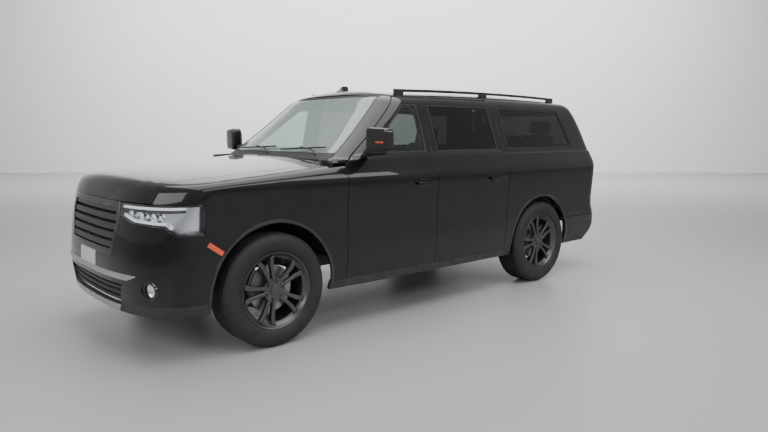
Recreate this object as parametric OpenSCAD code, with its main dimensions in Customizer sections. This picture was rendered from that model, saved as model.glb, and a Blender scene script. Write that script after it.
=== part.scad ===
// Three-row sport utility vehicle on a ladder frame.
// Frame: X across (+X is the left side), Y along (the nose points to -Y), Z up from the ground.
// The origin is on the ground, at the middle of the overall length.

/* [Overall] */
// Distance between the axles
wheelbase = 3080; // [2900:10:3700]
// Front axle to the foremost point of the bumper
front_overhang = 950; // [900:10:1140]
// Rear axle to the rearmost point of the bumper
rear_overhang = 1170; // [1000:10:1400]
// Body width at the shoulder, without the mirrors
body_width = 2030; // [1860:10:2140]
// Height of the roof skin above the ground
roof_height = 1890; // [1800:10:2000]

/* [Wheels] */
// Tyre outside diameter
tyre_diameter = 810; // [740:5:830]
// Tyre section width
tyre_width = 275; // [235:5:295]
// Rim diameter over its flanges
rim_diameter = 542; // [470:2:560]
// Distance between the centre planes of the wheels on one axle
track = 1716; // [1640:2:1760]
// Number of spokes in a wheel
spoke_count = 5; // [5:1:7]
// Largest steering angle each way
steer_limit = 32; // [25:1:34]

/* [Panels] */
// Clear gap round doors, bonnet and liftgate
panel_gap = 8; // [6:1:12]
// Thickness of a door's outer panel
door_skin = 20; // [14:1:24]
// Thickness of a whole door or side wall
wall = 110; // [90:5:125]
// Thickness of the glass
glass_thickness = 6; // [4:1:8]
// Front wheel arch radius in the body side
front_arch_radius = 482; // [470:1:495]
// Rear wheel arch radius in the body side
rear_arch_radius = 468; // [450:1:480]

/* [Frame] */
// Width of a frame rail
rail_width = 90; // [70:5:110]
// Height of a frame rail
rail_height = 130; // [110:5:150]
// Inside width of the square tow receiver
receiver_bore = 51; // [40:1:64]
// Radius of the tow receiver's pin hole
hitch_pin_radius = 8; // [6:0.5:10]

/* [Hidden] */

overall_length = front_overhang + wheelbase + rear_overhang;
y_nose = -overall_length / 2;
y_tail = overall_length / 2;
y_front_axle = y_nose + front_overhang;
y_rear_axle = y_front_axle + wheelbase;
half_width = body_width / 2;
tyre_radius = tyre_diameter / 2;
hub_z = tyre_radius;
wheel_x = track / 2;

gap = panel_gap;
PAINT = "#0c0d10";
fit = 0.4;            // clearance between pieces that seat on each other
belt_z = 1290;        // where the side windows begin
hood_thickness = 42;
fascia = 40;          // thickness of the bumper covers
pillar_depth = 46;    // how far the pillars stand inside the outer skin
seal_gap = 15;        // gap round the inner part of a door
frame_wall = 60;      // thickness of the roof pillars
roof_thickness = 36;
hinge_depth = 16;     // door hinge axis inside the shoulder of the door
hinge_inset = 25;     // door hinge axis behind the door's leading edge

// Stations along the body, measured from the front and the rear axle.
function fa(v) = y_front_axle + v;
function ra(v) = y_rear_axle + v;
y_door_front = fa(620);
y_door_rear = ra(-560);
y_pillar = (y_door_front + y_door_rear) / 2;
y_gate = ra(760);       // leading edge of the liftgate in the roof
z_sill = 400;           // lower edge of the doors
z_floor = 590;          // top of the floor
z_sill_top = 610;
z_gate = 622;           // lower edge of the liftgate
roof_seam = 590;        // seam between the roof and the sides, from the middle
z_door_top = roof_height - 96;

// ---------- Body surfaces ----------

// A smooth curve through a table of [key, value] points.
function slope(t, i) =
    let (a = max(i - 1, 0), b = min(i + 1, len(t) - 1)) (t[b][1] - t[a][1]) / (t[b][0] - t[a][0]);
function span(x, t) = max([for (k = [0:len(t) - 2]) if (t[k][0] <= x) k]);
function curve(x, t) =
    x <= t[0][0] ? t[0][1] :
    x >= t[len(t) - 1][0] ? t[len(t) - 1][1] :
    let (i = span(x, t), h = t[i + 1][0] - t[i][0], u = (x - t[i][0]) / h)
    (2 * u ^ 3 - 3 * u ^ 2 + 1) * t[i][1] + (u ^ 3 - 2 * u ^ 2 + u) * h * slope(t, i)
    + (3 * u ^ 2 - 2 * u ^ 3) * t[i + 1][1] + (u ^ 3 - u ^ 2) * h * slope(t, i + 1);

// Height against the inset from the full half width, and against the setback of nose and tail.
LOWER_INSET = [[250, 100], [330, 68], [420, 42], [560, 25], [800, 20], [1000, 8], [1130, 0],
               [1180, 8], [1240, 34], [1300, 66]];
NOSE_SETBACK = [[250, 70], [330, 26], [450, 5], [560, 0], [700, 8], [900, 34], [1050, 66],
                [1150, 112], [1300, 190]];
TAIL_SETBACK = [[250, 70], [330, 30], [450, 5], [560, 0], [640, 12], [720, 48], [1000, 42],
                [1150, 46], [1300, 62]];
// The cabin above the belt, against the height above it.
UPPER_INSET = [[0, 62], [40, 86], [210, 140], [360, 190], [450, 232], [500, 272], [540, 330],
               [620, 470]];
SCREEN_SETBACK = [[0, 505], [40, 560], [210, 790], [410, 1030], [510, 1140], [560, 1225],
                  [620, 1360]];
GATE_SETBACK = [[0, 62], [40, 70], [210, 122], [410, 205], [510, 262], [560, 320], [620, 430]];
// Height of the bonnet's outer edge, along the body from the front axle.
BONNET_EDGE = [[-1000, 1070], [-850, 1128], [-600, 1176], [0, 1226], [600, 1274], [800, 1292]];
bonnet_crown = 56;
roof_crown = 72;
roof_arch = 46;
nose_length = 430;      // length of the rounded nose in plan
tail_length = 280;
screen_length = 320;

LOWER_Z = [250, 330, 420, 560, 800, 1000, 1130, 1180, 1240, 1300];
UPPER_H = [0, 40, 210, 360, 450, 500, 540, 620];

// Narrowing of the body towards both ends.
function taper(y) = 22 * pow(y / (overall_length / 2), 2);

// One side of a plan outline, from the middle of the nose to the middle of the tail.
function half_ring(hw, y0, y1, a0, n0, a1, n1, z, steps = [6, 10, 5]) = concat(
    [for (i = [0:steps[0]]) let (q = 90 * i / steps[0], y = y0 + a0 * (1 - pow(cos(q), 2 / n0)))
        [(hw - taper(y)) * pow(sin(q), 2 / n0), y, z]],
    [for (i = [1:steps[1] - 1]) let (y = y0 + a0 + (y1 - a1 - y0 - a0) * i / steps[1])
        [hw - taper(y), y, z]],
    [for (i = [0:steps[2]]) let (q = 90 * i / steps[2], y = y1 - a1 * (1 - pow(sin(q), 2 / n1)))
        [(hw - taper(y)) * pow(cos(q), 2 / n1), y, z]]);

function full_ring(h) = concat(h, [for (i = [len(h) - 2:-1:1]) [-h[i][0], h[i][1], h[i][2]]]);

// A closed solid through a stack of plan outlines.
module ring_stack(rings) {
    n = len(rings[0]);
    m = len(rings);
    polyhedron(
        points = [for (r = rings) for (p = r) p],
        faces = concat(
            [[for (i = [0:n - 1]) i]],
            [for (k = [0:m - 2]) for (i = [0:n - 1])
                [k * n + i, (k + 1) * n + i, (k + 1) * n + (i + 1) % n]],
            [for (k = [0:m - 2]) for (i = [0:n - 1])
                [k * n + i, (k + 1) * n + (i + 1) % n, k * n + (i + 1) % n]],
            [[for (i = [n - 1:-1:0]) (m - 1) * n + i]]));
}

// The body below the belt, moved inwards by depth d, and longer at both ends of Z by e.
module lower_solid(d = 0, e = 0) {
    last = len(LOWER_Z) - 1;
    ring_stack([for (k = [0:last]) let (z = LOWER_Z[k])
        full_ring(half_ring(half_width - curve(z, LOWER_INSET) - d,
            y_nose + curve(z, NOSE_SETBACK) + d, y_tail - curve(z, TAIL_SETBACK) - d,
            nose_length, 2.7, tail_length, 3.2, z + (k == 0 ? -e : k == last ? e : 0)))]);
}

// The cabin above the belt, in the same way.
module upper_solid(d = 0, e = 0) {
    last = len(UPPER_H) - 1;
    stretch = (roof_height - belt_z) / 600;
    ring_stack([for (k = [0:last]) let (h = UPPER_H[k])
        full_ring(half_ring(half_width - curve(h, UPPER_INSET) - d,
            y_front_axle + curve(h, SCREEN_SETBACK) + d, y_tail - curve(h, GATE_SETBACK) - d,
            screen_length, 3.2, tail_length, 3.2,
            belt_z + h * stretch + (k == 0 ? -e : k == last ? e : 0)))]);
}

module lower_shell(d0, d1) {
    difference() {
        lower_solid(d0);
        lower_solid(d1, 5);
    }
}

module upper_shell(d0, d1) {
    difference() {
        upper_solid(d0);
        upper_solid(d1, 5);
    }
}

function bonnet_z(x, y) = curve(y - y_front_axle, BONNET_EDGE) + bonnet_crown * (1 - pow(x / 870, 2));
function roof_z(x, y) = roof_height - roof_crown * pow(x / 740, 2)
    - roof_arch * pow((y - fa(2500)) / 1900, 2);

// Everything below a grid of heights.
module under_grid(xs, ys, zs, floor_z) {
    nx = len(xs);
    ny = len(ys);
    n = nx * ny;
    polyhedron(
        points = concat([for (j = [0:ny - 1]) for (i = [0:nx - 1]) [xs[i], ys[j], zs[j][i]]],
            [for (j = [0:ny - 1]) for (i = [0:nx - 1]) [xs[i], ys[j], floor_z]]),
        faces = concat(
            [for (j = [0:ny - 2]) for (i = [0:nx - 2]) let (a = j * nx + i) [a, a + nx, a + nx + 1]],
            [for (j = [0:ny - 2]) for (i = [0:nx - 2]) let (a = j * nx + i) [a, a + nx + 1, a + 1]],
            [[for (j = [0:ny - 1]) for (i = [0:nx - 1]) if (j == 0) n + i,
              for (j = [1:ny - 1]) n + j * nx + nx - 1,
              for (i = [nx - 2:-1:0]) n + (ny - 1) * nx + i,
              for (j = [ny - 2:-1:1]) n + j * nx]],
            [for (i = [0:nx - 2]) [i, i + 1, n + i + 1, n + i]],
            [for (i = [0:nx - 2]) let (a = (ny - 1) * nx + i) [a + 1, a, n + a, n + a + 1]],
            [for (j = [0:ny - 2]) let (a = j * nx) [a + nx, a, n + a, n + a + nx]],
            [for (j = [0:ny - 2]) let (a = j * nx + nx - 1) [a, a + nx, n + a + nx, n + a]]));
}

module under_bonnet(d = 0) {
    xs = [for (i = [-4:4]) i * 280];
    ys = [for (v = [-1100, -850, -600, -250, 150, 500, 800]) fa(v)];
    under_grid(xs, ys, [for (y = ys) [for (x = xs) bonnet_z(x, y) - d]], 100);
}

module under_roof(d = 0) {
    xs = [for (i = [-4:4]) i * 215];
    ys = [for (i = [0:8]) fa(400) + (y_tail - fa(400)) * i / 8];
    under_grid(xs, ys, [for (y = ys) [for (x = xs) roof_z(x, y) - d]], 1000);
}

// One smooth-skinned panel, evaluated as a single surface.
module panel() {
    resize([0, 0, 0]) children();
}

// A prism along X over a side-view outline of [y, z] points, on the left side.
module side_cut(points, x0 = 300, x1 = 1300) {
    translate([x0, 0, 0]) rotate([90, 0, 90]) linear_extrude(x1 - x0) polygon(points);
}

// The same with the outline grown by g.
module side_cut_grown(points, g, x0 = 300, x1 = 1300) {
    translate([x0, 0, 0]) rotate([90, 0, 90]) linear_extrude(x1 - x0)
        offset(delta = g) polygon(points);
}

// A prism along Y over a front-view outline of [x, z] points, from y0 to y1.
module front_cut(points, y0, y1, g = 0) {
    translate([0, y1, 0]) rotate([90, 0, 0]) linear_extrude(y1 - y0)
        offset(delta = g) polygon(points);
}

module plan_cut(points, z0, z1, g = 0) {
    translate([0, 0, z0]) linear_extrude(z1 - z0) offset(delta = g) polygon(points);
}

module block(x0, x1, y0, y1, z0, z1) {
    translate([x0, y0, z0]) cube([x1 - x0, y1 - y0, z1 - z0]);
}

module both_sides() {
    children();
    mirror([1, 0, 0]) children();
}

module on_side(side) {
    if (side > 0) children();
    else mirror([1, 0, 0]) children();
}

// A round bar along X.
module bar_x(r, x0, x1, y = 0, z = 0, fn = 48) {
    translate([x0, y, z]) rotate([0, 90, 0]) cylinder(r = r, h = x1 - x0, $fn = fn);
}

module arch_hole(y, r, x0 = 560, x1 = 1300) {
    bar_x(r, x0, x1, y, hub_z, 64);
}

// ---------- Outlines in side view ----------

// Leading edge of the cabin side at a height, along the windscreen pillar.
function pillar_y(z) = fa(176 + curve((z - belt_z) * 600 / (roof_height - belt_z), SCREEN_SETBACK));

FRONT_DOOR = [[y_door_front, z_sill], [y_door_front, belt_z - 28], [pillar_y(belt_z) - 4, belt_z + 4],
    [pillar_y(1500), 1500], [pillar_y(1680), 1680], [pillar_y(z_door_top), z_door_top],
    [y_pillar - gap / 2, z_door_top], [y_pillar - gap / 2, z_sill]];
FRONT_DOOR_BOX = [[y_door_front + hinge_inset + 5, z_sill_top + seal_gap],
    [y_door_front + hinge_inset + 5, belt_z - 12], [pillar_y(belt_z) + 36, belt_z + 12],
    [pillar_y(1500) + 36, 1500], [pillar_y(1660) + 36, 1660],
    [pillar_y(z_door_top - 26) + 40, z_door_top - 26],
    [y_pillar - 42, z_door_top - 26], [y_pillar - 42, z_sill_top + seal_gap]];
FRONT_WINDOW = [[pillar_y(belt_z + 45) + 98, belt_z + 45], [pillar_y(1500) + 94, 1500],
    [pillar_y(1660) + 94, 1660], [pillar_y(z_door_top - 54) + 96, z_door_top - 54],
    [y_pillar - 62, z_door_top - 54], [y_pillar - 62, belt_z + 45]];
REAR_DOOR = [[y_pillar + gap / 2, z_sill], [y_pillar + gap / 2, z_door_top],
    [y_door_rear - 40, z_door_top], [y_door_rear, belt_z], [y_door_rear, 900],
    [y_door_rear - 10, z_sill]];
REAR_DOOR_BOX = [[y_pillar + gap / 2 + hinge_inset + 5, z_sill_top + seal_gap],
    [y_pillar + gap / 2 + hinge_inset + 5, z_door_top - 26], [y_door_rear - 82, z_door_top - 26],
    [y_door_rear - 42, belt_z], [y_door_rear - 42, 900], [y_door_rear - 50, z_sill_top + seal_gap]];
REAR_WINDOW = [[y_pillar + 62, belt_z + 45], [y_pillar + 62, z_door_top - 54],
    [y_door_rear - 104, z_door_top - 54], [y_door_rear - 72, belt_z + 45]];
QUARTER_WINDOW = [[y_door_rear + 82, belt_z + 50], [y_door_rear + 62, z_door_top - 56],
    [y_gate - 270, z_door_top - 74], [y_gate - 150, belt_z + 50]];

// ---------- Outlines in front view and in plan ----------

// They are set in from the body's half width by sx, so that they follow it.
function sx(v) = half_width - v;
function whole(half) = concat(half, [for (i = [len(half) - 1:-1:0]) [-half[i][0], half[i][1]]]);
WINDSCREEN = whole([[sx(215), belt_z + 42], [sx(273), 1500], [sx(339), 1700],
    [sx(383), roof_height - 74]]);
GATE = whole([[sx(195), z_gate], [sx(179), 1130], [sx(209), 1330], [sx(273), 1560], [sx(347), 1760],
    [sx(375), roof_height + 20]]);
GATE_WINDOW = whole([[sx(299), belt_z + 56], [sx(339), 1500], [sx(407), roof_height - 178]]);
TAIL_LAMP = [[sx(165), 800], [sx(-85), 800], [sx(-85), belt_z - 10], [sx(189), belt_z - 10],
    [sx(165), 1130]];
BONNET = [[-sx(255), fa(-1100)], [sx(255), fa(-1100)], [sx(225), fa(-600)], [sx(179), fa(-100)],
    [sx(157), fa(540)], [600, fa(470)], [300, fa(425)], [0, fa(410)], [-300, fa(425)],
    [-600, fa(470)], [-sx(157), fa(540)], [-sx(179), fa(-100)], [-sx(225), fa(-600)]];
HEADLAMP = [[478, 1048], [494, 960], [640, 918], [sx(135), 905], [sx(75), 850], [sx(-85), 850],
    [sx(-85), 1048]];
GRILLE = [[-470, 1048], [-500, 900], [-430, 700], [430, 700], [500, 900], [470, 1048]];
INTAKE = [[-560, 520], [-500, 372], [500, 372], [560, 520]];

y_lamp_end = fa(-520);      // rear end of the headlamps on the body side
y_bumper_end = fa(-300);    // rear end of the front bumper on the body side
z_bonnet_lip = 1056;
z_cover = 700;              // top of the front bumper beside the wheel arch
seam = 4;                   // seam between fixed panels
FENDER = [[y_bumper_end + seam, z_cover - 10], [y_lamp_end + seam, 850], [y_lamp_end + seam, 1052],
    [y_nose, 1052], [y_nose, 1320], [y_door_front - gap, 1320], [y_door_front - gap, 360],
    [fa(380), 360], [fa(0), z_cover]];

// Side view of what the fenders cover, with the seam to the bumper.
FENDER_ZONE = [[y_bumper_end, z_cover - 10], [y_lamp_end, 850], [y_lamp_end, 1300],
    [y_door_front, 1300], [y_door_front, z_cover - 10]];

fender_thickness = 25;
y_rail_end = ra(880);
hitch_z = 440;
rail_x0 = 600;              // inner face of a roof rail
mirror_y = fa(850);
HINGE_Z = [1040, 1150];     // heights of the door hinges
GATE_HINGE_X = [-120, 120];
gate_hinge_y = y_gate + hinge_inset;
gate_hinge_z = roof_z(0, gate_hinge_y) - 12;
bonnet_pin = 5;
bonnet_pin_x = sx(170);
bonnet_hinge_y = fa(520);
bonnet_hinge_z = 1258;
pin_clearance = 0.3;
rail_x = 430;
rail_front = 600 - rail_height;    // underside of the frame rails, front, middle and over the axle
rail_middle = 530 - rail_height;
rail_rear = 690 - rail_height;
z_load = 740;               // top of the load floor
engine_z = 500;
shaft_z = 425;
arm_z = 245;                // underside of the lower arms
upper_arm_z = 545;
kingpin_x = 790;
hub_face = wheel_x + tyre_width / 2 - 130;   // outer face of the hub
spindle_end = wheel_x + tyre_width / 2 - 42;
receiver_end = y_tail - 40;
hitch_pin_y = receiver_end - 60;
bumper_rise = hitch_z + receiver_bore;     // lower edge of the rear bumper, over the tow receiver
wheel_column_x = 410;       // steering column
column_y = fa(1120);
column_z = 1060;
spindle_radius = 35;
spindle_fit = 0.08;
stud_circle = 140;
disc_radius = 172;
gate_wall = 90;
gate_rim = 40;               // depth of the liftgate's edge beside its window, so that it swings out clear
floor_thickness = 40;
fog_x = 800;
fog_z = 500;
fog_radius = 58;

// ---------- Body ----------

// The whole cabin between two depths: walls of t, roof of r.
module cabin_outer() {
    intersection() {
        upper_solid();
        under_roof();
    }
}

module cabin_shell(t, r) {
    difference() {
        cabin_outer();
        intersection() {
            upper_solid(t, 5);
            under_roof(r);
        }
    }
}

module nose_shell(t, r) {
    intersection() {
        difference() {
            intersection() {
                lower_solid();
                under_bonnet();
            }
            intersection() {
                lower_solid(t, 5);
                under_bonnet(r);
            }
        }
        block(-1200, 1200, y_nose - 50, y_door_front + 100, 250, 1400);
    }
}

// Side walls between two depths, thinner above the belt.
module side_shell(d0, d1, d2) {
    lower_shell(d0, d1);
    upper_shell(d0, d2);
}

function hinge_x(y) = half_width - hinge_depth - taper(y);

// Body half of the door hinges on the vertical axis at y: an arm from the pillar, and its pin.
module hinge_arms(y) {
    x = hinge_x(y);
    for (z = HINGE_Z) {
        translate([x, y, z - 10]) cylinder(r = 6, h = 20, $fn = 24);
        translate([x, y, z - 26]) cylinder(r = 4.5, h = 52, $fn = 24);
        block(x - 54, x, y - 6, y + 1, z - 10, z + 10);
        block(x - 66, x - 38, y - 14, y + 1, z - 10, z + 10);
    }
}

// Door half: the pocket round each arm, and the hole for its pin.
module hinge_pockets(y) {
    x = hinge_x(y);
    for (z = HINGE_Z) {
        block(x - 80, x + 7, y - hinge_inset - 5, y + 8, z - 16, z + 16);
        translate([x, y, z - 27]) cylinder(r = 4.5 + pin_clearance, h = 54, $fn = 24);
    }
}

module body_side() {
    panel() {
        hinge_arms(y_door_front + hinge_inset);
        hinge_arms(y_pillar + gap / 2 + hinge_inset);
        body_side_shell();
    }
}

module body_side_shell() {
    difference() {
        union() {
            // sill and pillars behind the doors
            intersection() {
                side_shell(pillar_depth, wall, frame_wall + 20);
                side_cut([[y_door_front + gap, 330], [y_door_front + gap, belt_z - 20],
                    [pillar_y(belt_z) - 8, belt_z + 20], [pillar_y(1500), 1500],
                    [pillar_y(z_door_top), z_door_top + gap], [y_door_rear + 60, z_door_top + gap],
                    [y_door_rear + 60, 330]]);
            }
            // windscreen pillar, roof side and rear quarter
            intersection() {
                union() {
                    lower_shell(0, wall);
                    cabin_shell(frame_wall + 20, roof_thickness);
                }
                difference() {
                    side_cut([[y_door_front, 330], [y_door_front, belt_z - 40], [fa(560), belt_z - 40],
                        [fa(560), roof_height + 60], [y_tail + 40, roof_height + 60],
                        [y_tail + 40, z_gate], [ra(400), z_gate], [ra(400), 500],
                        [ra(0), 500], [ra(0), 330]]);
                    side_cut_grown(FRONT_DOOR, gap);
                    side_cut_grown(REAR_DOOR, gap);
                    // the two doors and the pillar between them
                    side_cut([[y_pillar - 50, z_sill - gap], [y_pillar - 50, z_door_top + gap],
                        [y_pillar + 50, z_door_top + gap], [y_pillar + 50, z_sill - gap]]);
                }
            }
        }
        side_cut_grown(FRONT_DOOR_BOX, seal_gap);
        side_cut_grown(REAR_DOOR_BOX, seal_gap);
        side_cut(QUARTER_WINDOW);
        arch_hole(y_rear_axle, rear_arch_radius);
        block(-1200, roof_seam + fit, y_nose, y_gate - gap / 2, belt_z, roof_height + 100);
        front_cut(WINDSCREEN, y_nose, fa(1400));
        // panel below the windscreen, and the fender's rear corner
        block(0, sx(219) + fit, y_nose, fa(1000), belt_z - 70, belt_z + 42);
        intersection() {
            under_bonnet(-2);
            block(0, 1200, y_nose, y_door_front - 1, 0, 1400);
        }
        front_cut(GATE, y_gate - gap, y_tail + 100, gap);
        block(-1200, 0, y_nose, y_tail + 100, 0, 2200);
        front_cut(TAIL_LAMP, y_tail - 230, y_tail + 100);
    }
}

module roof_panel() {
    color(PAINT) panel() union() {
        for (x = GATE_HINGE_X) {
            bar_x(5, x - 10, x + 10, gate_hinge_y, gate_hinge_z, 24);
            bar_x(3.5, x - 24, x + 24, gate_hinge_y, gate_hinge_z, 24);
            block(x - 10, x + 10, gate_hinge_y - 4, gate_hinge_y + 4, gate_hinge_z - 38, gate_hinge_z);
            block(x - 10, x + 10, gate_hinge_y - 90, gate_hinge_y + 4, gate_hinge_z - 38,
                gate_hinge_z - 30);
        }
        intersection() {
            cabin_shell(frame_wall + 20, roof_thickness);
            block(-roof_seam, roof_seam, y_front_axle, y_gate - gap, 1500, roof_height + 100);
            difference() {
                block(-1000, 1000, y_front_axle, y_tail, 1500, roof_height + 100);
                front_cut(WINDSCREEN, y_nose, fa(1400));
            }
        }
        // bows under the roof skin
        for (y = [y_pillar, y_door_rear + 20, y_gate - 90])
            intersection() {
                difference() {
                    under_roof(roof_thickness - 1);
                    under_roof(roof_thickness + 24);
                }
                block(-roof_seam, roof_seam, y - 40, y + 40, 1500, roof_height);
            }
    }
}

module bonnet() {
    color(PAINT) panel() difference() {
        intersection() {
            nose_shell(hood_thickness, hood_thickness);
            plan_cut(BONNET, z_bonnet_lip, 1400);
        }
        both_sides() bar_x(bonnet_pin + pin_clearance, bonnet_pin_x - 2, 900,
            bonnet_hinge_y, bonnet_hinge_z, 24);
    }
}

module fender() {
    panel() difference() {
        intersection() {
            union() {
                nose_shell(fender_thickness, fender_thickness);
                // joint with the windscreen pillar
                intersection() {
                    lower_shell(0, fender_thickness);
                    block(0, 1200, fa(500), y_door_front, belt_z - 80, belt_z - 16);
                    under_bonnet();
                }
            }
            side_cut(FENDER);
        }
        plan_cut(BONNET, 900, 1400, gap);
        plan_cut([[400, fa(300)], [sx(167), fa(300)], [sx(157), fa(540)], [sx(154), fa(640)],
            [400, fa(640)]],
            900, 1400, gap);
        arch_hole(y_front_axle, front_arch_radius);
        block(-1200, 500, y_nose, y_tail, 0, 2000);
    }
}

module fender_with_pin() {
    panel() {
        fender();
        bar_x(bonnet_pin, bonnet_pin_x, bonnet_pin_x + 40, bonnet_hinge_y, bonnet_hinge_z, 24);
    }
}

// Firewall, cowl, inner wings and the front cross panel.
module bulkhead() {
    color("#17181a") panel() difference() {
        union() {
            // firewall
            intersection() {
                lower_solid(wall + fit);
                block(-1200, 1200, fa(560), fa(610), z_floor - floor_thickness, belt_z - 60);
            }
            // cowl tray, and the panel below the windscreen
            intersection() {
                lower_solid(fender_thickness + 3, 40);
                under_bonnet(hood_thickness + 12);
                plan_cut([[-900, fa(460)], [900, fa(460)], [900, fa(600)], [-900, fa(600)]], 1180, 1400);
            }
            intersection() {
                difference() {
                    upper_solid(0, 80);
                    upper_solid(50, 90);
                }
                block(-sx(219), sx(219), fa(300), fa(900), belt_z - 62, belt_z + 42 - fit);
            }
            // inner wings
            intersection() {
                lower_solid(fender_thickness + fit);
                under_bonnet(70);
                both_sides() block(640, 1000, fa(-700), fa(610), 620, 1300);
            }
            // cross panel above the radiator
            block(-660, 660, fa(-700), fa(-640), 610, 1040);
        }
        both_sides() arch_hole(y_front_axle, front_arch_radius + 6, 500);
        // clear of the bumper cover, the lamps and the windscreen pillars
        intersection() {
            lower_shell(-5, fascia + fit);
            block(-1200, 1200, y_nose - 20, y_bumper_end + 2, 0, 1100);
        }
        intersection() {
            lower_shell(-5, 112);
            block(-1200, 1200, y_nose - 20, y_lamp_end + 2, 840, 1100);
        }
        both_sides() block(sx(219), 1200, fa(550), fa(700), belt_z - 32, 1400);
        plan_cut(BONNET, z_bonnet_lip - 16, 1500, gap);
        block(-640, 640, fa(-640), fa(560), 600, 1130);
    }
}

module front_bumper() {
    color(PAINT) panel() difference() {
        union() {
            difference() {
                intersection() {
                    lower_shell(0, fascia);
                    block(-1200, 1200, y_nose - 20, y_bumper_end, 316, 1048);
                }
                both_sides() side_cut(FENDER_ZONE, 500);
                both_sides() front_cut(HEADLAMP, y_nose - 50, y_bumper_end + 50);
                front_cut(GRILLE, y_nose - 50, y_nose + 300);
                front_cut(INTAKE, y_nose - 50, y_nose + 300);
                both_sides() translate([fog_x, y_nose + 400, fog_z]) rotate([90, 0, 0])
                    cylinder(r = fog_radius + fit, h = 500, $fn = 40);
            }
            // beam behind the cover, on the ends of the frame
            intersection() {
                block(-700, 700, y_nose, fa(-760), 530, 640);
                lower_solid(fascia - 2);
            }
        }
        both_sides() arch_hole(y_front_axle, front_arch_radius);
    }
}

module grille() {
    color("#1c1d1f") panel() {
        difference() {
            intersection() {
                lower_shell(14, 52);
                front_cut(GRILLE, y_nose - 50, y_nose + 300, -fit);
            }
            for (z = [745:62:1010]) block(-405, 405, y_nose - 50, y_nose + 400, z, z + 34);
        }
        intersection() {
            lower_shell(20, 50);
            front_cut(INTAKE, y_nose - 50, y_nose + 300, -fit);
        }
    }
}

module headlamps() {
    color("#d8dce0") panel() both_sides() intersection() {
        difference() {
            lower_shell(4, 110);
            block(-1200, 1200, y_lamp_end, y_tail, 0, 2000);
        }
        front_cut(HEADLAMP, y_nose - 50, y_bumper_end + 50, -fit);
    }
}

module fog_lamps() {
    color("#d8dce0") panel() both_sides() intersection() {
        translate([fog_x, y_nose + 400, fog_z]) rotate([90, 0, 0])
            cylinder(r = fog_radius, h = 450, $fn = 40);
        lower_shell(6, 70);
    }
}

module rear_bumper() {
    color(PAINT) panel() difference() {
        union() {
            intersection() {
                lower_shell(0, fascia);
                block(-1200, 1200, ra(380), y_tail + 20, 330, z_gate - gap);
            }
            // step on top of the cover, and its beam on the frame
            intersection() {
                lower_solid(fascia / 2);
                union() {
                    block(-930, 930, y_tail - 190, y_tail, z_gate - gap - 24, z_gate - gap - 1);
                    block(-640, 640, y_rail_end, y_tail, 500, 570);
                }
            }
        }
        both_sides() arch_hole(y_rear_axle, rear_arch_radius);
        // clear way to the tow receiver
        block(-receiver_bore, receiver_bore, y_rail_end, y_tail + 50, 0, hitch_z + receiver_bore);
        // the lower edge sweeps up behind the wheels, so a hitch pin goes in from the side
        both_sides() side_cut([[hitch_pin_y - 230, 0], [hitch_pin_y - 230, 329],
            [hitch_pin_y - 70, bumper_rise], [y_tail + 60, bumper_rise], [y_tail + 60, 0]], -1);
    }
}

module tail_lamps() {
    color("#7a1012") panel() both_sides() intersection() {
        union() {
            lower_shell(3, wall);
            upper_shell(3, frame_wall + 20);
        }
        front_cut(TAIL_LAMP, y_tail - 230 + fit, y_tail + 100, -fit);
    }
}

// ---------- Glass ----------

module pane(d = 6) {
    upper_shell(d, d + glass_thickness);
}

module windscreen() {
    color("#51605a") panel() intersection() {
        pane();
        front_cut(WINDSCREEN, y_nose, fa(1390), -fit);
    }
}

module quarter_windows() {
    color("#141517") panel() both_sides() intersection() {
        pane();
        side_cut_grown(QUARTER_WINDOW, -fit);
    }
}

module door_glass(outline) {
    panel() intersection() {
        pane();
        side_cut_grown(outline, -fit);
    }
}

module liftgate_glass() {
    color("#141517") panel() intersection() {
        pane();
        front_cut(GATE_WINDOW, y_gate + 60, y_tail + 60, -fit);
    }
}

// ---------- Doors and liftgate ----------

module door(outline, box, window, hinge_y) {
    panel() difference() {
        union() {
            intersection() {
                side_shell(0, door_skin, door_skin);
                side_cut(outline);
            }
            intersection() {
                side_shell(door_skin - 1, wall, frame_wall);
                side_cut(box);
            }
        }
        side_cut(window);
        hinge_pockets(hinge_y);
    }
}

module liftgate() {
    color(PAINT) panel() difference() {
        intersection() {
            union() {
                lower_shell(0, gate_wall);
                cabin_shell(frame_wall, roof_thickness);
            }
            front_cut(GATE, y_gate, y_tail + 60);
        }
        front_cut(GATE_WINDOW, y_gate + 60, y_tail + 60);
        intersection() {
            upper_solid(gate_rim);
            both_sides() block(sx(325), sx(115), y_gate - 1, y_tail, belt_z + 60, roof_height - 150);
        }
        for (x = GATE_HINGE_X) {
            block(x - 15, x + 15, y_gate - 1, gate_hinge_y + 10, gate_hinge_z - 70, gate_hinge_z + 6);
            bar_x(3.5 + pin_clearance, x - 25, x + 25, gate_hinge_y, gate_hinge_z, 24);
        }
    }
}

// ---------- Roof rails and mirrors ----------

module roof_rails() {
    color("#1b1c1e") panel() both_sides() union() {
        intersection() {
            difference() {
                under_roof(-46);
                under_roof(-20);
            }
            block(rail_x0, rail_x0 + 34, fa(1420), y_gate - 120, 1600, 2100);
        }
        for (y = [fa(1420), (fa(1420) + y_gate - 120) / 2 - 45, y_gate - 210])
            intersection() {
                difference() {
                    under_roof(-30);
                    under_roof(-fit);
                }
                block(rail_x0, rail_x0 + 34, y, y + 90, 1600, 2100);
            }
    }
}

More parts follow.
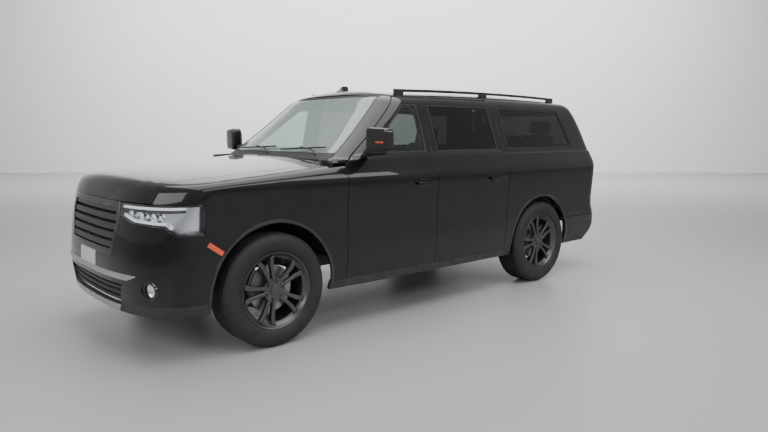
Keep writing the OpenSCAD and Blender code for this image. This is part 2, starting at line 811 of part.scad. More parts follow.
module mirror_unit() {
    panel() difference() {
        union() {
            // foot on the door
            hull() {
                translate([half_width - 78, mirror_y, belt_z + 22]) sphere(r = 34, $fn = 16);
                translate([half_width + 66, mirror_y - 28, belt_z + 74]) sphere(r = 30, $fn = 16);
            }
            hull() for (x = [58, 196]) for (z = [42, 172])
                translate([half_width + x - (z > 100 ? 6 : 0), mirror_y - 22 - (x < 100 ? 12 : 0),
                    belt_z + 32 + z]) scale([0.85, 1.1, 1]) sphere(r = 40, $fn = 16);
        }
        lower_solid(-fit);
        upper_solid(-fit);
    }
}

// ---------- Wheels ----------

module on_wheel(side, y) {
    translate([side * wheel_x, y, hub_z]) rotate([0, side * 90, 0]) children();
}

module tyre() {
    r0 = rim_diameter / 2;
    w = tyre_width / 2;
    wall_k = (tyre_radius - r0) / 134;    // the sidewall's points follow its height
    rotate_extrude($fn = 96) polygon([[r0, -w + 30], [r0 + 8 * wall_k, -w + 12], [r0 + 40 * wall_k, -w],
        [tyre_radius - 52 * wall_k, -w + 2], [tyre_radius - 18 * wall_k, -w + 13],
        [tyre_radius - 5 * wall_k, -w + 32], [tyre_radius, -w + 66], [tyre_radius, w - 66],
        [tyre_radius - 5 * wall_k, w - 32], [tyre_radius - 18 * wall_k, w - 13],
        [tyre_radius - 52 * wall_k, w - 2], [r0 + 40 * wall_k, w], [r0 + 8 * wall_k, w - 12],
        [r0, w - 30]]);
}

module wheel() {
    r0 = rim_diameter / 2;
    w = tyre_width / 2;
    rotate_extrude($fn = 96) polygon([[r0 - 34, -w + 24], [r0 - fit, -w + 24], [r0 - fit, w - 24],
        [r0 - 30, w - 24], [r0 - 30, w - 60], [r0 - 40, w - 64], [r0 - 40, -w + 40], [r0 - 34, -w + 36]]);
    difference() {
        union() {
            translate([0, 0, w - 96]) cylinder(r = 84, h = 58, $fn = 64);
            for (i = [0:spoke_count - 1]) rotate([0, 0, 360 * i / spoke_count])
                difference() {
                    translate([40, -42, w - 92]) cube([r0 - 74, 84, 52]);
                    translate([90, -9, w - 52]) cube([r0 - 150, 18, 20]);
                }
        }
        translate([0, 0, w - 120]) cylinder(r = spindle_radius + spindle_fit, h = 100, $fn = 48);
        for (i = [0:5]) rotate([0, 0, 60 * i + 30]) translate([stud_circle / 2, 0, w - 60])
            cylinder(r = 10, h = 40, $fn = 24);
    }
    // brake disc
    difference() {
        translate([0, 0, w - 124]) cylinder(r = disc_radius, h = 26, $fn = 64);
        translate([0, 0, w - 130]) cylinder(r = spindle_radius + spindle_fit, h = 60, $fn = 48);
    }
    difference() {
        translate([0, 0, w - 98]) cylinder(r = 80, h = 4, $fn = 64);
        translate([0, 0, w - 130]) cylinder(r = spindle_radius + spindle_fit, h = 60, $fn = 48);
    }
}

// ---------- Frame and running gear ----------

RAIL = [[fa(-760), rail_front], [fa(300), rail_front], [fa(500), rail_middle], [ra(-520), rail_middle],
    [ra(-300), rail_rear], [ra(480), rail_rear], [ra(680), rail_front + 10], [y_rail_end, rail_front + 10],
    [y_rail_end, rail_front + 10 + rail_height], [ra(680), rail_front + 10 + rail_height],
    [ra(480), rail_rear + rail_height], [ra(-300), rail_rear + rail_height],
    [ra(-520), rail_middle + rail_height], [fa(500), rail_middle + rail_height],
    [fa(300), rail_front + rail_height], [fa(-760), rail_front + rail_height]];

module square_tube(outer, inner, y0, y1, z) {
    difference() {
        block(-outer / 2, outer / 2, y0, y1, z - outer / 2, z + outer / 2);
        block(-inner / 2, inner / 2, y0 - 1, y1 + 1, z - inner / 2, z + inner / 2);
    }
}

module ladder_frame() {
    rail_in = rail_x - rail_width / 2;
    z_mid = rail_middle + rail_height;
    color("#202224") {
        both_sides() translate([rail_in, 0, 0]) rotate([90, 0, 90])
            linear_extrude(rail_width) polygon(RAIL);
        block(-rail_in, rail_in, fa(-720), fa(-640), rail_front + 20, rail_front + 100);
        block(-rail_in, rail_in, fa(-60), fa(60), rail_front - 20, engine_z);
        block(-rail_in, rail_in, fa(1100), fa(1190), z_mid - 60, z_mid);
        block(-rail_in, rail_in, ra(-600), ra(-550), z_mid - 60, z_mid);
        block(-rail_in, rail_in, ra(400), ra(470), rail_rear + 40, rail_rear + 110);
        block(-rail_in, rail_in, y_rail_end - 90, y_rail_end - 10, rail_front + 10, rail_front + 90);
        // body mounts
        for (x = [-rail_x, rail_x]) {
            for (y = [fa(720), fa(1500), fa(2250)]) translate([x, y, z_mid])
                cylinder(r = 42, h = z_floor - floor_thickness - z_mid, $fn = 40);
            for (y = [ra(-60), ra(440)]) translate([x, y, rail_rear + rail_height])
                cylinder(r = 42, h = z_load - floor_thickness - rail_rear - rail_height, $fn = 40);
        }
    }
}

// Square receiver under the rear cross member, with its pin hole.
module tow_receiver() {
    color("#202224") difference() {
        union() {
            square_tube(receiver_bore + 13, receiver_bore, ra(760), receiver_end, hitch_z);
            block(-70, 70, y_rail_end - 90, y_rail_end - 10, hitch_z + receiver_bore / 2 + 2,
                rail_front + 10);
        }
        bar_x(hitch_pin_radius, -80, 80, hitch_pin_y, hitch_z);
    }
}

module floor_pan() {
    color("#17181a") panel() difference() {
        intersection() {
            lower_solid(wall + fit);
            union() {
                block(-1200, 1200, fa(610 + fit), ra(-520), z_floor - floor_thickness, z_floor);
                block(-1200, 1200, ra(-550), ra(-520), z_floor - floor_thickness, z_load);
                block(-1200, 1200, ra(-530), y_tail - 130, z_load - floor_thickness, z_load);
                // wheel houses
                both_sides() bar_x(rear_arch_radius + 24, wheel_x - tyre_width / 2 - 50, 1200,
                    y_rear_axle, hub_z, 64);
            }
        }
        block(-1200, 1200, ra(-519), y_tail, 0, z_load - floor_thickness);
        both_sides() arch_hole(y_rear_axle, rear_arch_radius, wheel_x - tyre_width / 2 - 26);
        block(-1200, 1200, ra(-1200), ra(-551), 0, z_floor - floor_thickness);
    }
}

module front_suspension() {
    color("#2a2c2e") panel() both_sides() {
        hull() for (y = [-130, 130]) {
            translate([rail_x + rail_width / 2 + fit, fa(y) - 22, arm_z]) cube([30, 44, 30]);
            translate([kingpin_x, fa(0), arm_z]) cylinder(r = 34, h = 30, $fn = 32);
        }
        hull() for (y = [-90, 90]) {
            translate([rail_x + rail_width / 2 + fit, fa(y) - 18, upper_arm_z]) cube([30, 36, 22]);
            translate([kingpin_x, fa(0), upper_arm_z]) cylinder(r = 28, h = 22, $fn = 32);
        }
        // bracket from the rail down to the lower arm
        translate([rail_x - 20, fa(-110), arm_z]) cube([rail_width / 2 + 20, 220, rail_front - arm_z]);
        // spring and damper
        translate([585, fa(0), arm_z + 20]) cylinder(r = 46, h = upper_arm_z - arm_z - 10, $fn = 28);
        translate([585, fa(0), upper_arm_z + 10]) cylinder(r = 40, h = 72, $fn = 28);
    }
}

module knuckle(side) {
    translate([side * kingpin_x, fa(0), arm_z + 30.3])
        cylinder(r = 26, h = upper_arm_z - arm_z - 30.6, $fn = 40);
    bar_x(60, side > 0 ? kingpin_x - 30 : -hub_face, side > 0 ? hub_face : -kingpin_x + 30, fa(0), hub_z);
    bar_x(spindle_radius, side > 0 ? hub_face - 5 : -spindle_end,
        side > 0 ? spindle_end : -hub_face + 5, fa(0), hub_z);
}

module rear_axle() {
    color("#2a2c2e") {
        bar_x(48, -hub_face, hub_face, y_rear_axle, hub_z);
        bar_x(spindle_radius, -spindle_end, spindle_end, y_rear_axle, hub_z);
        bar_x(130, -90, 90, y_rear_axle, hub_z, 64);
        both_sides() translate([rail_x, y_rear_axle, hub_z])
            cylinder(r = 56, h = rail_rear - hub_z, $fn = 48);
        // propeller shaft, as far as the gearbox
        translate([0, y_rear_axle - 120, shaft_z]) rotate([90, 0, 0])
            cylinder(r = 34, h = y_rear_axle - 120 - fa(1060) - fit, $fn = 40);
    }
}

module engine_block() {
    color("#3a3d40") {
        block(-250, 250, fa(-420), fa(330), engine_z, engine_z + 500);
        block(-130, 130, fa(320), fa(1060), rail_middle - 10, z_floor - floor_thickness - 10);
    }
}

module pipe(points, r) {
    for (i = [0:len(points) - 2]) {
        d = points[i + 1] - points[i];
        l = norm(d);
        translate(points[i]) rotate([0, acos(d[2] / l), atan2(d[1], d[0])])
            cylinder(r = r, h = l, $fn = 20);
        if (i < len(points) - 2) translate(points[i + 1]) sphere(r = r, $fn = 20);
    }
}

module exhaust() {
    z = rail_middle + 10;
    color("#5b5e62") panel() {
        pipe([[-200, fa(420), z], [-250, fa(900), z], [-250, fa(1500), z]], 32);
        translate([-250, fa(2180), z + 6]) rotate([90, 0, 0]) cylinder(r = 78, h = 680, $fn = 32);
        pipe([[-250, fa(2180), z], [-250, ra(-600), z], [-250, ra(-330), hub_z + 100],
            [-250, ra(330), hub_z + 100], [-250, ra(600), hub_z + 20]], 32);
        // hangers to the floor
        for (y = [fa(1560), fa(2120)]) translate([-250, y, z])
            cylinder(r = 9, h = z_floor - floor_thickness - z, $fn = 12);
    }
}

module fuel_tank() {
    color("#26282a") block(110, 360, fa(1480), fa(2280), rail_middle - 20, z_floor - floor_thickness);
}

// ---------- Cabin ----------

module dashboard() {
    color("#232427") {
        panel() intersection() {
            lower_solid(wall + 14);
            union() {
                block(-1200, 1200, fa(610 + fit), fa(960), 900, 1190);
                block(-1200, 1200, fa(610 + fit), fa(860), 860, 1225);
                block(wheel_column_x - 190, wheel_column_x + 190, fa(800), fa(985), 1100, 1262);
            }
        }
        block(-135, 135, fa(940), fa(1960), z_floor + fit, 850);
        translate([wheel_column_x, column_y, column_z]) rotate([-65, 0, 0])
            translate([0, 0, -240]) cylinder(r = 40, h = 210, $fn = 40);
    }
}

module steering_wheel() {
    color("#1d1e20") translate([wheel_column_x, column_y, column_z]) rotate([-65, 0, 0]) {
        rotate_extrude($fn = 72) translate([178, 0]) circle(r = 15, $fn = 24);
        translate([0, 0, -29.7]) cylinder(r = 42, h = 24, $fn = 40);
        translate([0, 0, -14]) cylinder(r = 66, h = 26, $fn = 40);
        for (a = [0, 180, 270]) rotate([0, 0, a]) translate([50, -16, -9]) cube([122, 32, 16]);
    }
}

// One seat, with the front of its cushion at y and its base on the floor at z.
module seat(x, w, y, z, base, head) {
    translate([x, y, z + fit]) {
        translate([-w / 2 + 60, 40, 0]) cube([w - 120, 380, base]);
        translate([-w / 2, 0, base - 1]) cube([w, 540, 140]);
        translate([0, 500, base + 70]) rotate([-16, 0, 0]) {
            translate([-w / 2 + 10, 0, 0]) cube([w - 20, 130, 580]);
            for (i = head) translate([i - 125, 20, 590]) cube([250, 95, 150]);
            for (i = head) for (j = [-60, 60]) translate([i + j, 66, 570]) cylinder(r = 7, h = 30, $fn = 20);
        }
    }
}

module front_seats() {
    color("#3b3c40") for (x = [-410, 410]) seat(x, 520, fa(1270), z_floor, 180, [0]);
}

module middle_seats() {
    color("#3b3c40") for (x = [-400, 400]) seat(x, 560, ra(-980), z_floor, 190, [0]);
}

module rear_seats() {
    color("#3b3c40") seat(0, 1160, ra(40), z_load, 120, [-370, 370]);
}

// ---------- Pieces by side ----------

module left_body_side() {
    color(PAINT) body_side();
}

module right_body_side() {
    color(PAINT) mirror([1, 0, 0]) body_side();
}

module left_fender() {
    color(PAINT) fender_with_pin();
}

module right_fender() {
    color(PAINT) mirror([1, 0, 0]) fender_with_pin();
}

module left_front_door() {
    color(PAINT) door(FRONT_DOOR, FRONT_DOOR_BOX, FRONT_WINDOW,
        y_door_front + hinge_inset);
}

module right_front_door() {
    color(PAINT) mirror([1, 0, 0]) door(FRONT_DOOR, FRONT_DOOR_BOX, FRONT_WINDOW,
        y_door_front + hinge_inset);
}

module left_rear_door() {
    color(PAINT) door(REAR_DOOR, REAR_DOOR_BOX, REAR_WINDOW,
        y_pillar + gap / 2 + hinge_inset);
}

module right_rear_door() {
    color(PAINT) mirror([1, 0, 0]) door(REAR_DOOR, REAR_DOOR_BOX, REAR_WINDOW,
        y_pillar + gap / 2 + hinge_inset);
}

module left_front_door_glass() {
    color("#2c3432") door_glass(FRONT_WINDOW);
}

module right_front_door_glass() {
    color("#2c3432") mirror([1, 0, 0]) door_glass(FRONT_WINDOW);
}

module left_rear_door_glass() {
    color("#141517") door_glass(REAR_WINDOW);
}

module right_rear_door_glass() {
    color("#141517") mirror([1, 0, 0]) door_glass(REAR_WINDOW);
}

module left_mirror() {
    color(PAINT) mirror_unit();
}

module right_mirror() {
    color(PAINT) mirror([1, 0, 0]) mirror_unit();
}

module left_front_tyre() {
    color("#18191a") on_wheel(1, y_front_axle) tyre();
}

module left_rear_tyre() {
    color("#18191a") on_wheel(1, y_rear_axle) tyre();
}

module left_front_wheel() {
    color("#55585c") on_wheel(1, y_front_axle) wheel();
}

module left_rear_wheel() {
    color("#55585c") on_wheel(1, y_rear_axle) wheel();
}

module left_knuckle() {
    color("#2a2c2e") knuckle(1);
}

module right_front_tyre() {
    color("#18191a") on_wheel(-1, y_front_axle) tyre();
}

module right_rear_tyre() {
    color("#18191a") on_wheel(-1, y_rear_axle) tyre();
}

module right_front_wheel() {
    color("#55585c") on_wheel(-1, y_front_axle) wheel();
}

module right_rear_wheel() {
    color("#55585c") on_wheel(-1, y_rear_axle) wheel();
}

module right_knuckle() {
    color("#2a2c2e") knuckle(-1);
}

ladder_frame();
tow_receiver();
floor_pan();
left_body_side();
right_body_side();
roof_panel();
bulkhead();
left_fender();
right_fender();
bonnet();
front_bumper();
rear_bumper();
grille();
headlamps();
fog_lamps();
tail_lamps();
windscreen();
quarter_windows();
roof_rails();
left_front_door();
right_front_door();
left_rear_door();
right_rear_door();
left_front_door_glass();
right_front_door_glass();
left_rear_door_glass();
right_rear_door_glass();
left_mirror();
right_mirror();
liftgate();
liftgate_glass();
left_front_tyre();
right_front_tyre();
left_rear_tyre();
right_rear_tyre();
left_front_wheel();
right_front_wheel();
left_rear_wheel();
right_rear_wheel();
left_knuckle();
right_knuckle();
front_suspension();
rear_axle();
engine_block();
exhaust();
fuel_tank();
dashboard();
steering_wheel();
front_seats();
middle_seats();
rear_seats();
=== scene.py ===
"""Full-size sport utility vehicle: smooth body panels, glass, lamps, wheels and cabin, built on the CAD frame."""
import math

import bmesh
import bpy
import numpy as np
from mathutils import Matrix, Vector


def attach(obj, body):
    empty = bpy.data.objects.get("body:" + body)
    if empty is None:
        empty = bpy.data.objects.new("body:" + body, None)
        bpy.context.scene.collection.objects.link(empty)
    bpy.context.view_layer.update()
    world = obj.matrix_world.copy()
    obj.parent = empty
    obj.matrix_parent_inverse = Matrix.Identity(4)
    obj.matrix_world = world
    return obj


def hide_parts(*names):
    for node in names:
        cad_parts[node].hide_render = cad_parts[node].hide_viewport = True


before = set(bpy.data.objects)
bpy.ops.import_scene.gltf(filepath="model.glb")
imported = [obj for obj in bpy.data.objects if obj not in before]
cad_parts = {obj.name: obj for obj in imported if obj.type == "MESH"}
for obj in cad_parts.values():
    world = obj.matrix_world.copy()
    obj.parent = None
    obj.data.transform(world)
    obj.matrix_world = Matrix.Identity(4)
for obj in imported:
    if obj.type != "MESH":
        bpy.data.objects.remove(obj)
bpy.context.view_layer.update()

# ---------------------------------------------------------------- main sizes, in metres
HALF_WIDTH = 1.015
NOSE, TAIL = -2.6, 2.6
FRONT_AXLE, REAR_AXLE = -1.65, 1.43
ROOF, BELT, GAP = 1.89, 1.29, 0.008
HUB_Z, WHEEL_X, TYRE_R, TYRE_W, RIM_R = 0.405, 0.858, 0.405, 0.275, 0.271
FRONT_ARCH, REAR_ARCH = 0.482, 0.468
NOSE_LEN, TAIL_LEN, SCREEN_LEN = 0.43, 0.28, 0.32
Y_GATE, Z_GATE, Z_FLOOR, Z_LOAD = 2.19, 0.622, 0.59, 0.74
WALL, FRAME_WALL = 0.11, 0.06


def fa(v):
    """A station behind the front axle, given in millimetres."""
    return FRONT_AXLE + v / 1000


def ra(v):
    """A station behind the rear axle, given in millimetres."""
    return REAR_AXLE + v / 1000


# ---------------------------------------------------------------- body surfaces
LOWER_INSET = [[250, 100], [330, 68], [420, 42], [560, 25], [800, 20], [1000, 8], [1130, 0],
               [1180, 8], [1240, 34], [1300, 66]]
NOSE_SETBACK = [[250, 70], [330, 26], [450, 5], [560, 0], [700, 8], [900, 34], [1050, 66],
                [1150, 112], [1300, 190]]
TAIL_SETBACK = [[250, 70], [330, 30], [450, 5], [560, 0], [640, 12], [720, 48], [1000, 42],
                [1150, 46], [1300, 62]]
UPPER_INSET = [[0, 62], [40, 86], [210, 140], [360, 190], [450, 232], [500, 272], [540, 330],
               [620, 470]]
SCREEN_SETBACK = [[0, 505], [40, 560], [210, 790], [410, 1030], [510, 1140], [560, 1225],
                  [620, 1360]]
GATE_SETBACK = [[0, 62], [40, 70], [210, 122], [410, 205], [510, 262], [560, 320], [620, 430]]
BONNET_EDGE = [[-1000, 1070], [-850, 1128], [-600, 1176], [0, 1226], [600, 1274], [800, 1292]]


def curve(x, table):
    """A smooth curve through a table of [key, value] points, all in millimetres."""
    t = np.array(table, float)
    k, v = t[:, 0], t[:, 1]
    m = np.empty_like(v)
    m[1:-1] = (v[2:] - v[:-2]) / (k[2:] - k[:-2])
    m[0], m[-1] = (v[1] - v[0]) / (k[1] - k[0]), (v[-1] - v[-2]) / (k[-1] - k[-2])
    x = np.clip(np.asarray(x, float), k[0], k[-1])
    i = np.clip(np.searchsorted(k, x, side="right") - 1, 0, len(k) - 2)
    h = k[i + 1] - k[i]
    u = (x - k[i]) / h
    return ((2 * u ** 3 - 3 * u ** 2 + 1) * v[i] + (u ** 3 - 2 * u ** 2 + u) * h * m[i]
            + (3 * u ** 2 - 2 * u ** 3) * v[i + 1] + (u ** 3 - u ** 2) * h * m[i + 1])


def soft_max(a, b, k):
    h = np.clip(k - np.abs(a - b), 0, None) / k
    return np.maximum(a, b) + h * h * k / 4


def ring_distance(x, y, half, y0, y1, len0, n0, len1, n1):
    """Distance outside a plan outline with a rounded nose and tail."""
    half = half - 0.022 * (y / TAIL) ** 2
    best = None
    for u, v, n, ln in ((np.abs(x) / half, np.clip((y0 + len0 - y) / len0, 0, None), n0, len0),
                        (np.abs(x) / half, np.clip((y - y1 + len1) / len1, 0, None), n1, len1)):
        g = np.maximum((u ** n + v ** n) ** (1 / n), 1e-6)
        slope = np.sqrt(((u / g) ** (n - 1) / half) ** 2 + ((v / g) ** (n - 1) / ln) ** 2)
        d = (g - 1) / np.maximum(slope, 0.25)
        best = d if best is None else np.maximum(best, d)
    return best


def lower_body(x, y, z):
    mm = z * 1000
    return ring_distance(x, y, HALF_WIDTH - curve(mm, LOWER_INSET) / 1000,
                         NOSE + curve(mm, NOSE_SETBACK) / 1000, TAIL - curve(mm, TAIL_SETBACK) / 1000,
                         NOSE_LEN, 2.7, TAIL_LEN, 3.2)


def upper_body(x, y, z):
    h = (z - BELT) * 1000
    return ring_distance(x, y, HALF_WIDTH - curve(h, UPPER_INSET) / 1000,
                         FRONT_AXLE + curve(h, SCREEN_SETBACK) / 1000,
                         TAIL - curve(h, GATE_SETBACK) / 1000, SCREEN_LEN, 3.2, TAIL_LEN, 3.2)


def bonnet_height(x, y):
    return (curve((y - FRONT_AXLE) * 1000, BONNET_EDGE) + 56 * (1 - (x / 0.87) ** 2)) / 1000


def roof_height(x, y):
    return ROOF - 0.072 * (x / 0.74) ** 2 - 0.046 * ((y - fa(2500)) / 1.9) ** 2


def nose_shape(x, y, z):
    return soft_max(lower_body(x, y, z), z - bonnet_height(x, y), 0.045)


def cabin_shape(x, y, z):
    return soft_max(upper_body(x, y, z), z - roof_height(x, y), 0.05)


def body_shape(x, y, z):
    low = np.maximum(lower_body(x, y, z), z - 1.297)
    return -soft_max(-low, -cabin_shape(x, y, z), 0.012)


def hits(shape, origin, direction, reach=1.8):
    """Where rays from inside a shape leave it."""
    lo = np.full(len(origin), 0.02)
    hi = np.full(len(origin), reach)
    for _ in range(42):
        mid = (lo + hi) / 2
        p = origin + direction * mid[:, None]
        outside = shape(p[:, 0], p[:, 1], p[:, 2]) > 0
        hi = np.where(outside, mid, hi)
        lo = np.where(outside, lo, mid)
    return origin + direction * hi[:, None]


def normals_of(shape, p):
    e = 0.0015
    n = np.stack([shape(p[:, 0] + (i == 0) * e, p[:, 1] + (i == 1) * e, p[:, 2] + (i == 2) * e)
                  - shape(p[:, 0] - (i == 0) * e, p[:, 1] - (i == 1) * e, p[:, 2] - (i == 2) * e)
                  for i in range(3)], axis=1)
    return n / np.maximum(np.linalg.norm(n, axis=1), 1e-9)[:, None]


# ---------------------------------------------------------------- grids that rays lay on the body
Y_NOSE_ARC, Y_TAIL_ARC = NOSE + NOSE_LEN, TAIL - TAIL_LEN
SIDE = Y_TAIL_ARC - Y_NOSE_ARC
ARC = 0.8


def station(w):
    """Centre and outward direction in plan, w metres along the left side and round both ends."""
    nose, tail = np.clip(-w / ARC, 0, math.pi), np.clip((w - SIDE) / ARC, 0, math.pi)
    past_nose = np.clip(-w - ARC * math.pi, 0, None)
    past_tail = np.clip(w - SIDE - ARC * math.pi, 0, None)
    y = Y_NOSE_ARC + np.clip(w, 0, SIDE) + past_nose - past_tail
    angle = tail - nose
    return np.stack([0 * w, y], 1), np.stack([np.cos(angle), np.sin(angle)], 1)


def wrap_place(shape, w0, w1, z0, z1, turn=0.0, radius=0.25, inner=0.7):
    """Level rays from z0 up to z1, then rays that turn upwards round an inner line."""
    def place(u, v):
        w = w0 + (w1 - w0) * u
        t = v * (z1 - z0 + radius * turn)
        level = np.clip(t, 0, z1 - z0)
        phi = np.clip(t - (z1 - z0), 0, None) / radius
        c, d = station(w)
        if turn:
            o = np.column_stack([c, np.full(len(w), z1)])
            rim = hits(shape, o, np.column_stack([d, 0 * w]))
            c = c + (rim[:, :2] - c) * inner
        o = np.column_stack([c, z0 + level])
        return hits(shape, o, np.column_stack([d * np.cos(phi)[:, None], np.sin(phi)]))
    return place


def side_place(shape, y0, y1, z0, z1, turn=0.0, radius=0.25, x_in=0.5):
    """The same along the left side only, in planes across the body."""
    def place(u, v):
        y = y0 + (y1 - y0) * u
        t = v * (z1 - z0 + radius * turn)
        level = np.clip(t, 0, z1 - z0)
        phi = np.clip(t - (z1 - z0), 0, None) / radius
        o = np.column_stack([np.full(len(y), x_in), y, z0 + level])
        return hits(shape, o, np.column_stack([np.cos(phi), 0 * y, np.sin(phi)]))
    return place


def long_place(shape, x0, x1, ya, yb, z_in, turn, radius, facing):
    """Upright rays from ya to yb, then rays that turn down towards the nose (-1) or the tail (1)."""
    def place(u, v):
        x = x0 + (x1 - x0) * u
        length = abs(yb - ya)
        t = v * (length + radius * turn)
        y = ya + (yb - ya) * np.clip(t / length, 0, 1)
        phi = np.clip(t - length, 0, None) / radius
        o = np.column_stack([x, y, np.full(len(x), z_in)])
        return hits(shape, o, np.column_stack([0 * x, facing * np.sin(phi), np.cos(phi)]))
    return place


# ---------------------------------------------------------------- panels
AXES = {"x": (1, 2), "y": (0, 2), "z": (0, 1)}


def in_outline(p, outline):
    """Whether a flat point lies inside an outline."""
    inside = False
    for (ax, ay), (bx, by) in zip(outline, outline[1:] + outline[:1]):
        if (ay > p[1]) != (by > p[1]) and p[0] < (bx - ax) * (p[1] - ay) / (by - ay) + ax:
            inside = not inside
    return inside


def grown(outline, g):
    """An outline moved outwards by g."""
    area = sum(a[0] * b[1] - b[0] * a[1] for a, b in zip(outline, outline[1:] + outline[:1]))
    s = 1 if area > 0 else -1
    n = len(outline)
    out = []
    for i in range(n):
        a, b, c = (Vector(outline[(i + k) % n]) for k in (-1, 0, 1))
        e0, e1 = (b - a).normalized(), (c - b).normalized()
        n0, n1 = Vector((e0.y, -e0.x)) * s, Vector((e1.y, -e1.x)) * s
        m = (n0 + n1).normalized()
        out.append(tuple(b + m * (g / max(m.dot(n0), 0.35))))
    return out


def circle_outline(cy, cz, r, count=56):
    return [(cy + r * math.cos(2 * math.pi * i / count), cz + r * math.sin(2 * math.pi * i / count))
            for i in range(count)]


def carve(bm, outline, axis, keep, reach=None):
    """Cut a mesh along an outline seen down an axis, and keep its inside or its outside.

    With reach, only what lies between those two places along the axis is dropped.
    """
    i, j = AXES[axis]
    k = 3 - i - j
    for end in reach or ():
        co, no = [0, 0, 0], [0, 0, 0]
        co[k], no[k] = end, 1
        bmesh.ops.bisect_plane(bm, geom=list(bm.verts) + list(bm.edges) + list(bm.faces), dist=2e-5,
                               plane_co=co, plane_no=no)
    for a, b in zip(outline, outline[1:] + outline[:1]):
        lo = [min(a[n], b[n]) - 1e-4 for n in (0, 1)]
        hi = [max(a[n], b[n]) + 1e-4 for n in (0, 1)]
        faces = []
        for f in bm.faces:
            p = [v.co[i] for v in f.verts]
            if max(p) < lo[0] or min(p) > hi[0]:
                continue
            q = [v.co[j] for v in f.verts]
            if max(q) >= lo[1] and min(q) <= hi[1]:
                faces.append(f)
        if not faces:
            continue
        edges = {e for f in faces for e in f.edges}
        verts = {v for f in faces for v in f.verts}
        no, co = [0, 0, 0], [0, 0, 0]
        no[i], no[j], co[i], co[j] = b[1] - a[1], a[0] - b[0], a[0], a[1]
        no[k] = 0
        bmesh.ops.bisect_plane(bm, geom=list(verts) + list(edges) + faces, dist=2e-5,
                               plane_co=co, plane_no=no)
    gone = []
    for f in bm.faces:
        c = f.calc_center_median()
        if reach and not reach[0] < c[k] < reach[1]:
            continue
        if in_outline((c[i], c[j]), outline) != keep:
            gone.append(f)
    bmesh.ops.delete(bm, geom=gone, context="FACES")
    bmesh.ops.delete(bm, geom=[v for v in bm.verts if not v.link_faces], context="VERTS")


PIECES = {}


def finish_mesh(name, bm, body, material, stands_for=(), smooth=True):
    """Turn a bmesh into a piece that rides on a body."""
    mesh = bpy.data.meshes.new(name)
    bm.to_mesh(mesh)
    bm.free()
    if smooth:
        mesh.shade_smooth()
    return add_piece(name, mesh, body, material, stands_for)


def add_piece(name, mesh, body, material, stands_for=()):
    obj = bpy.data.objects.new(name, mesh)
    bpy.context.scene.collection.objects.link(obj)
    for m in material if isinstance(material, (list, tuple)) else [material]:
        mesh.materials.append(m)
    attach(obj, body)
    if stands_for:
        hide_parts(*([stands_for] if isinstance(stands_for, str) else stands_for))
    PIECES[name] = obj
    return obj


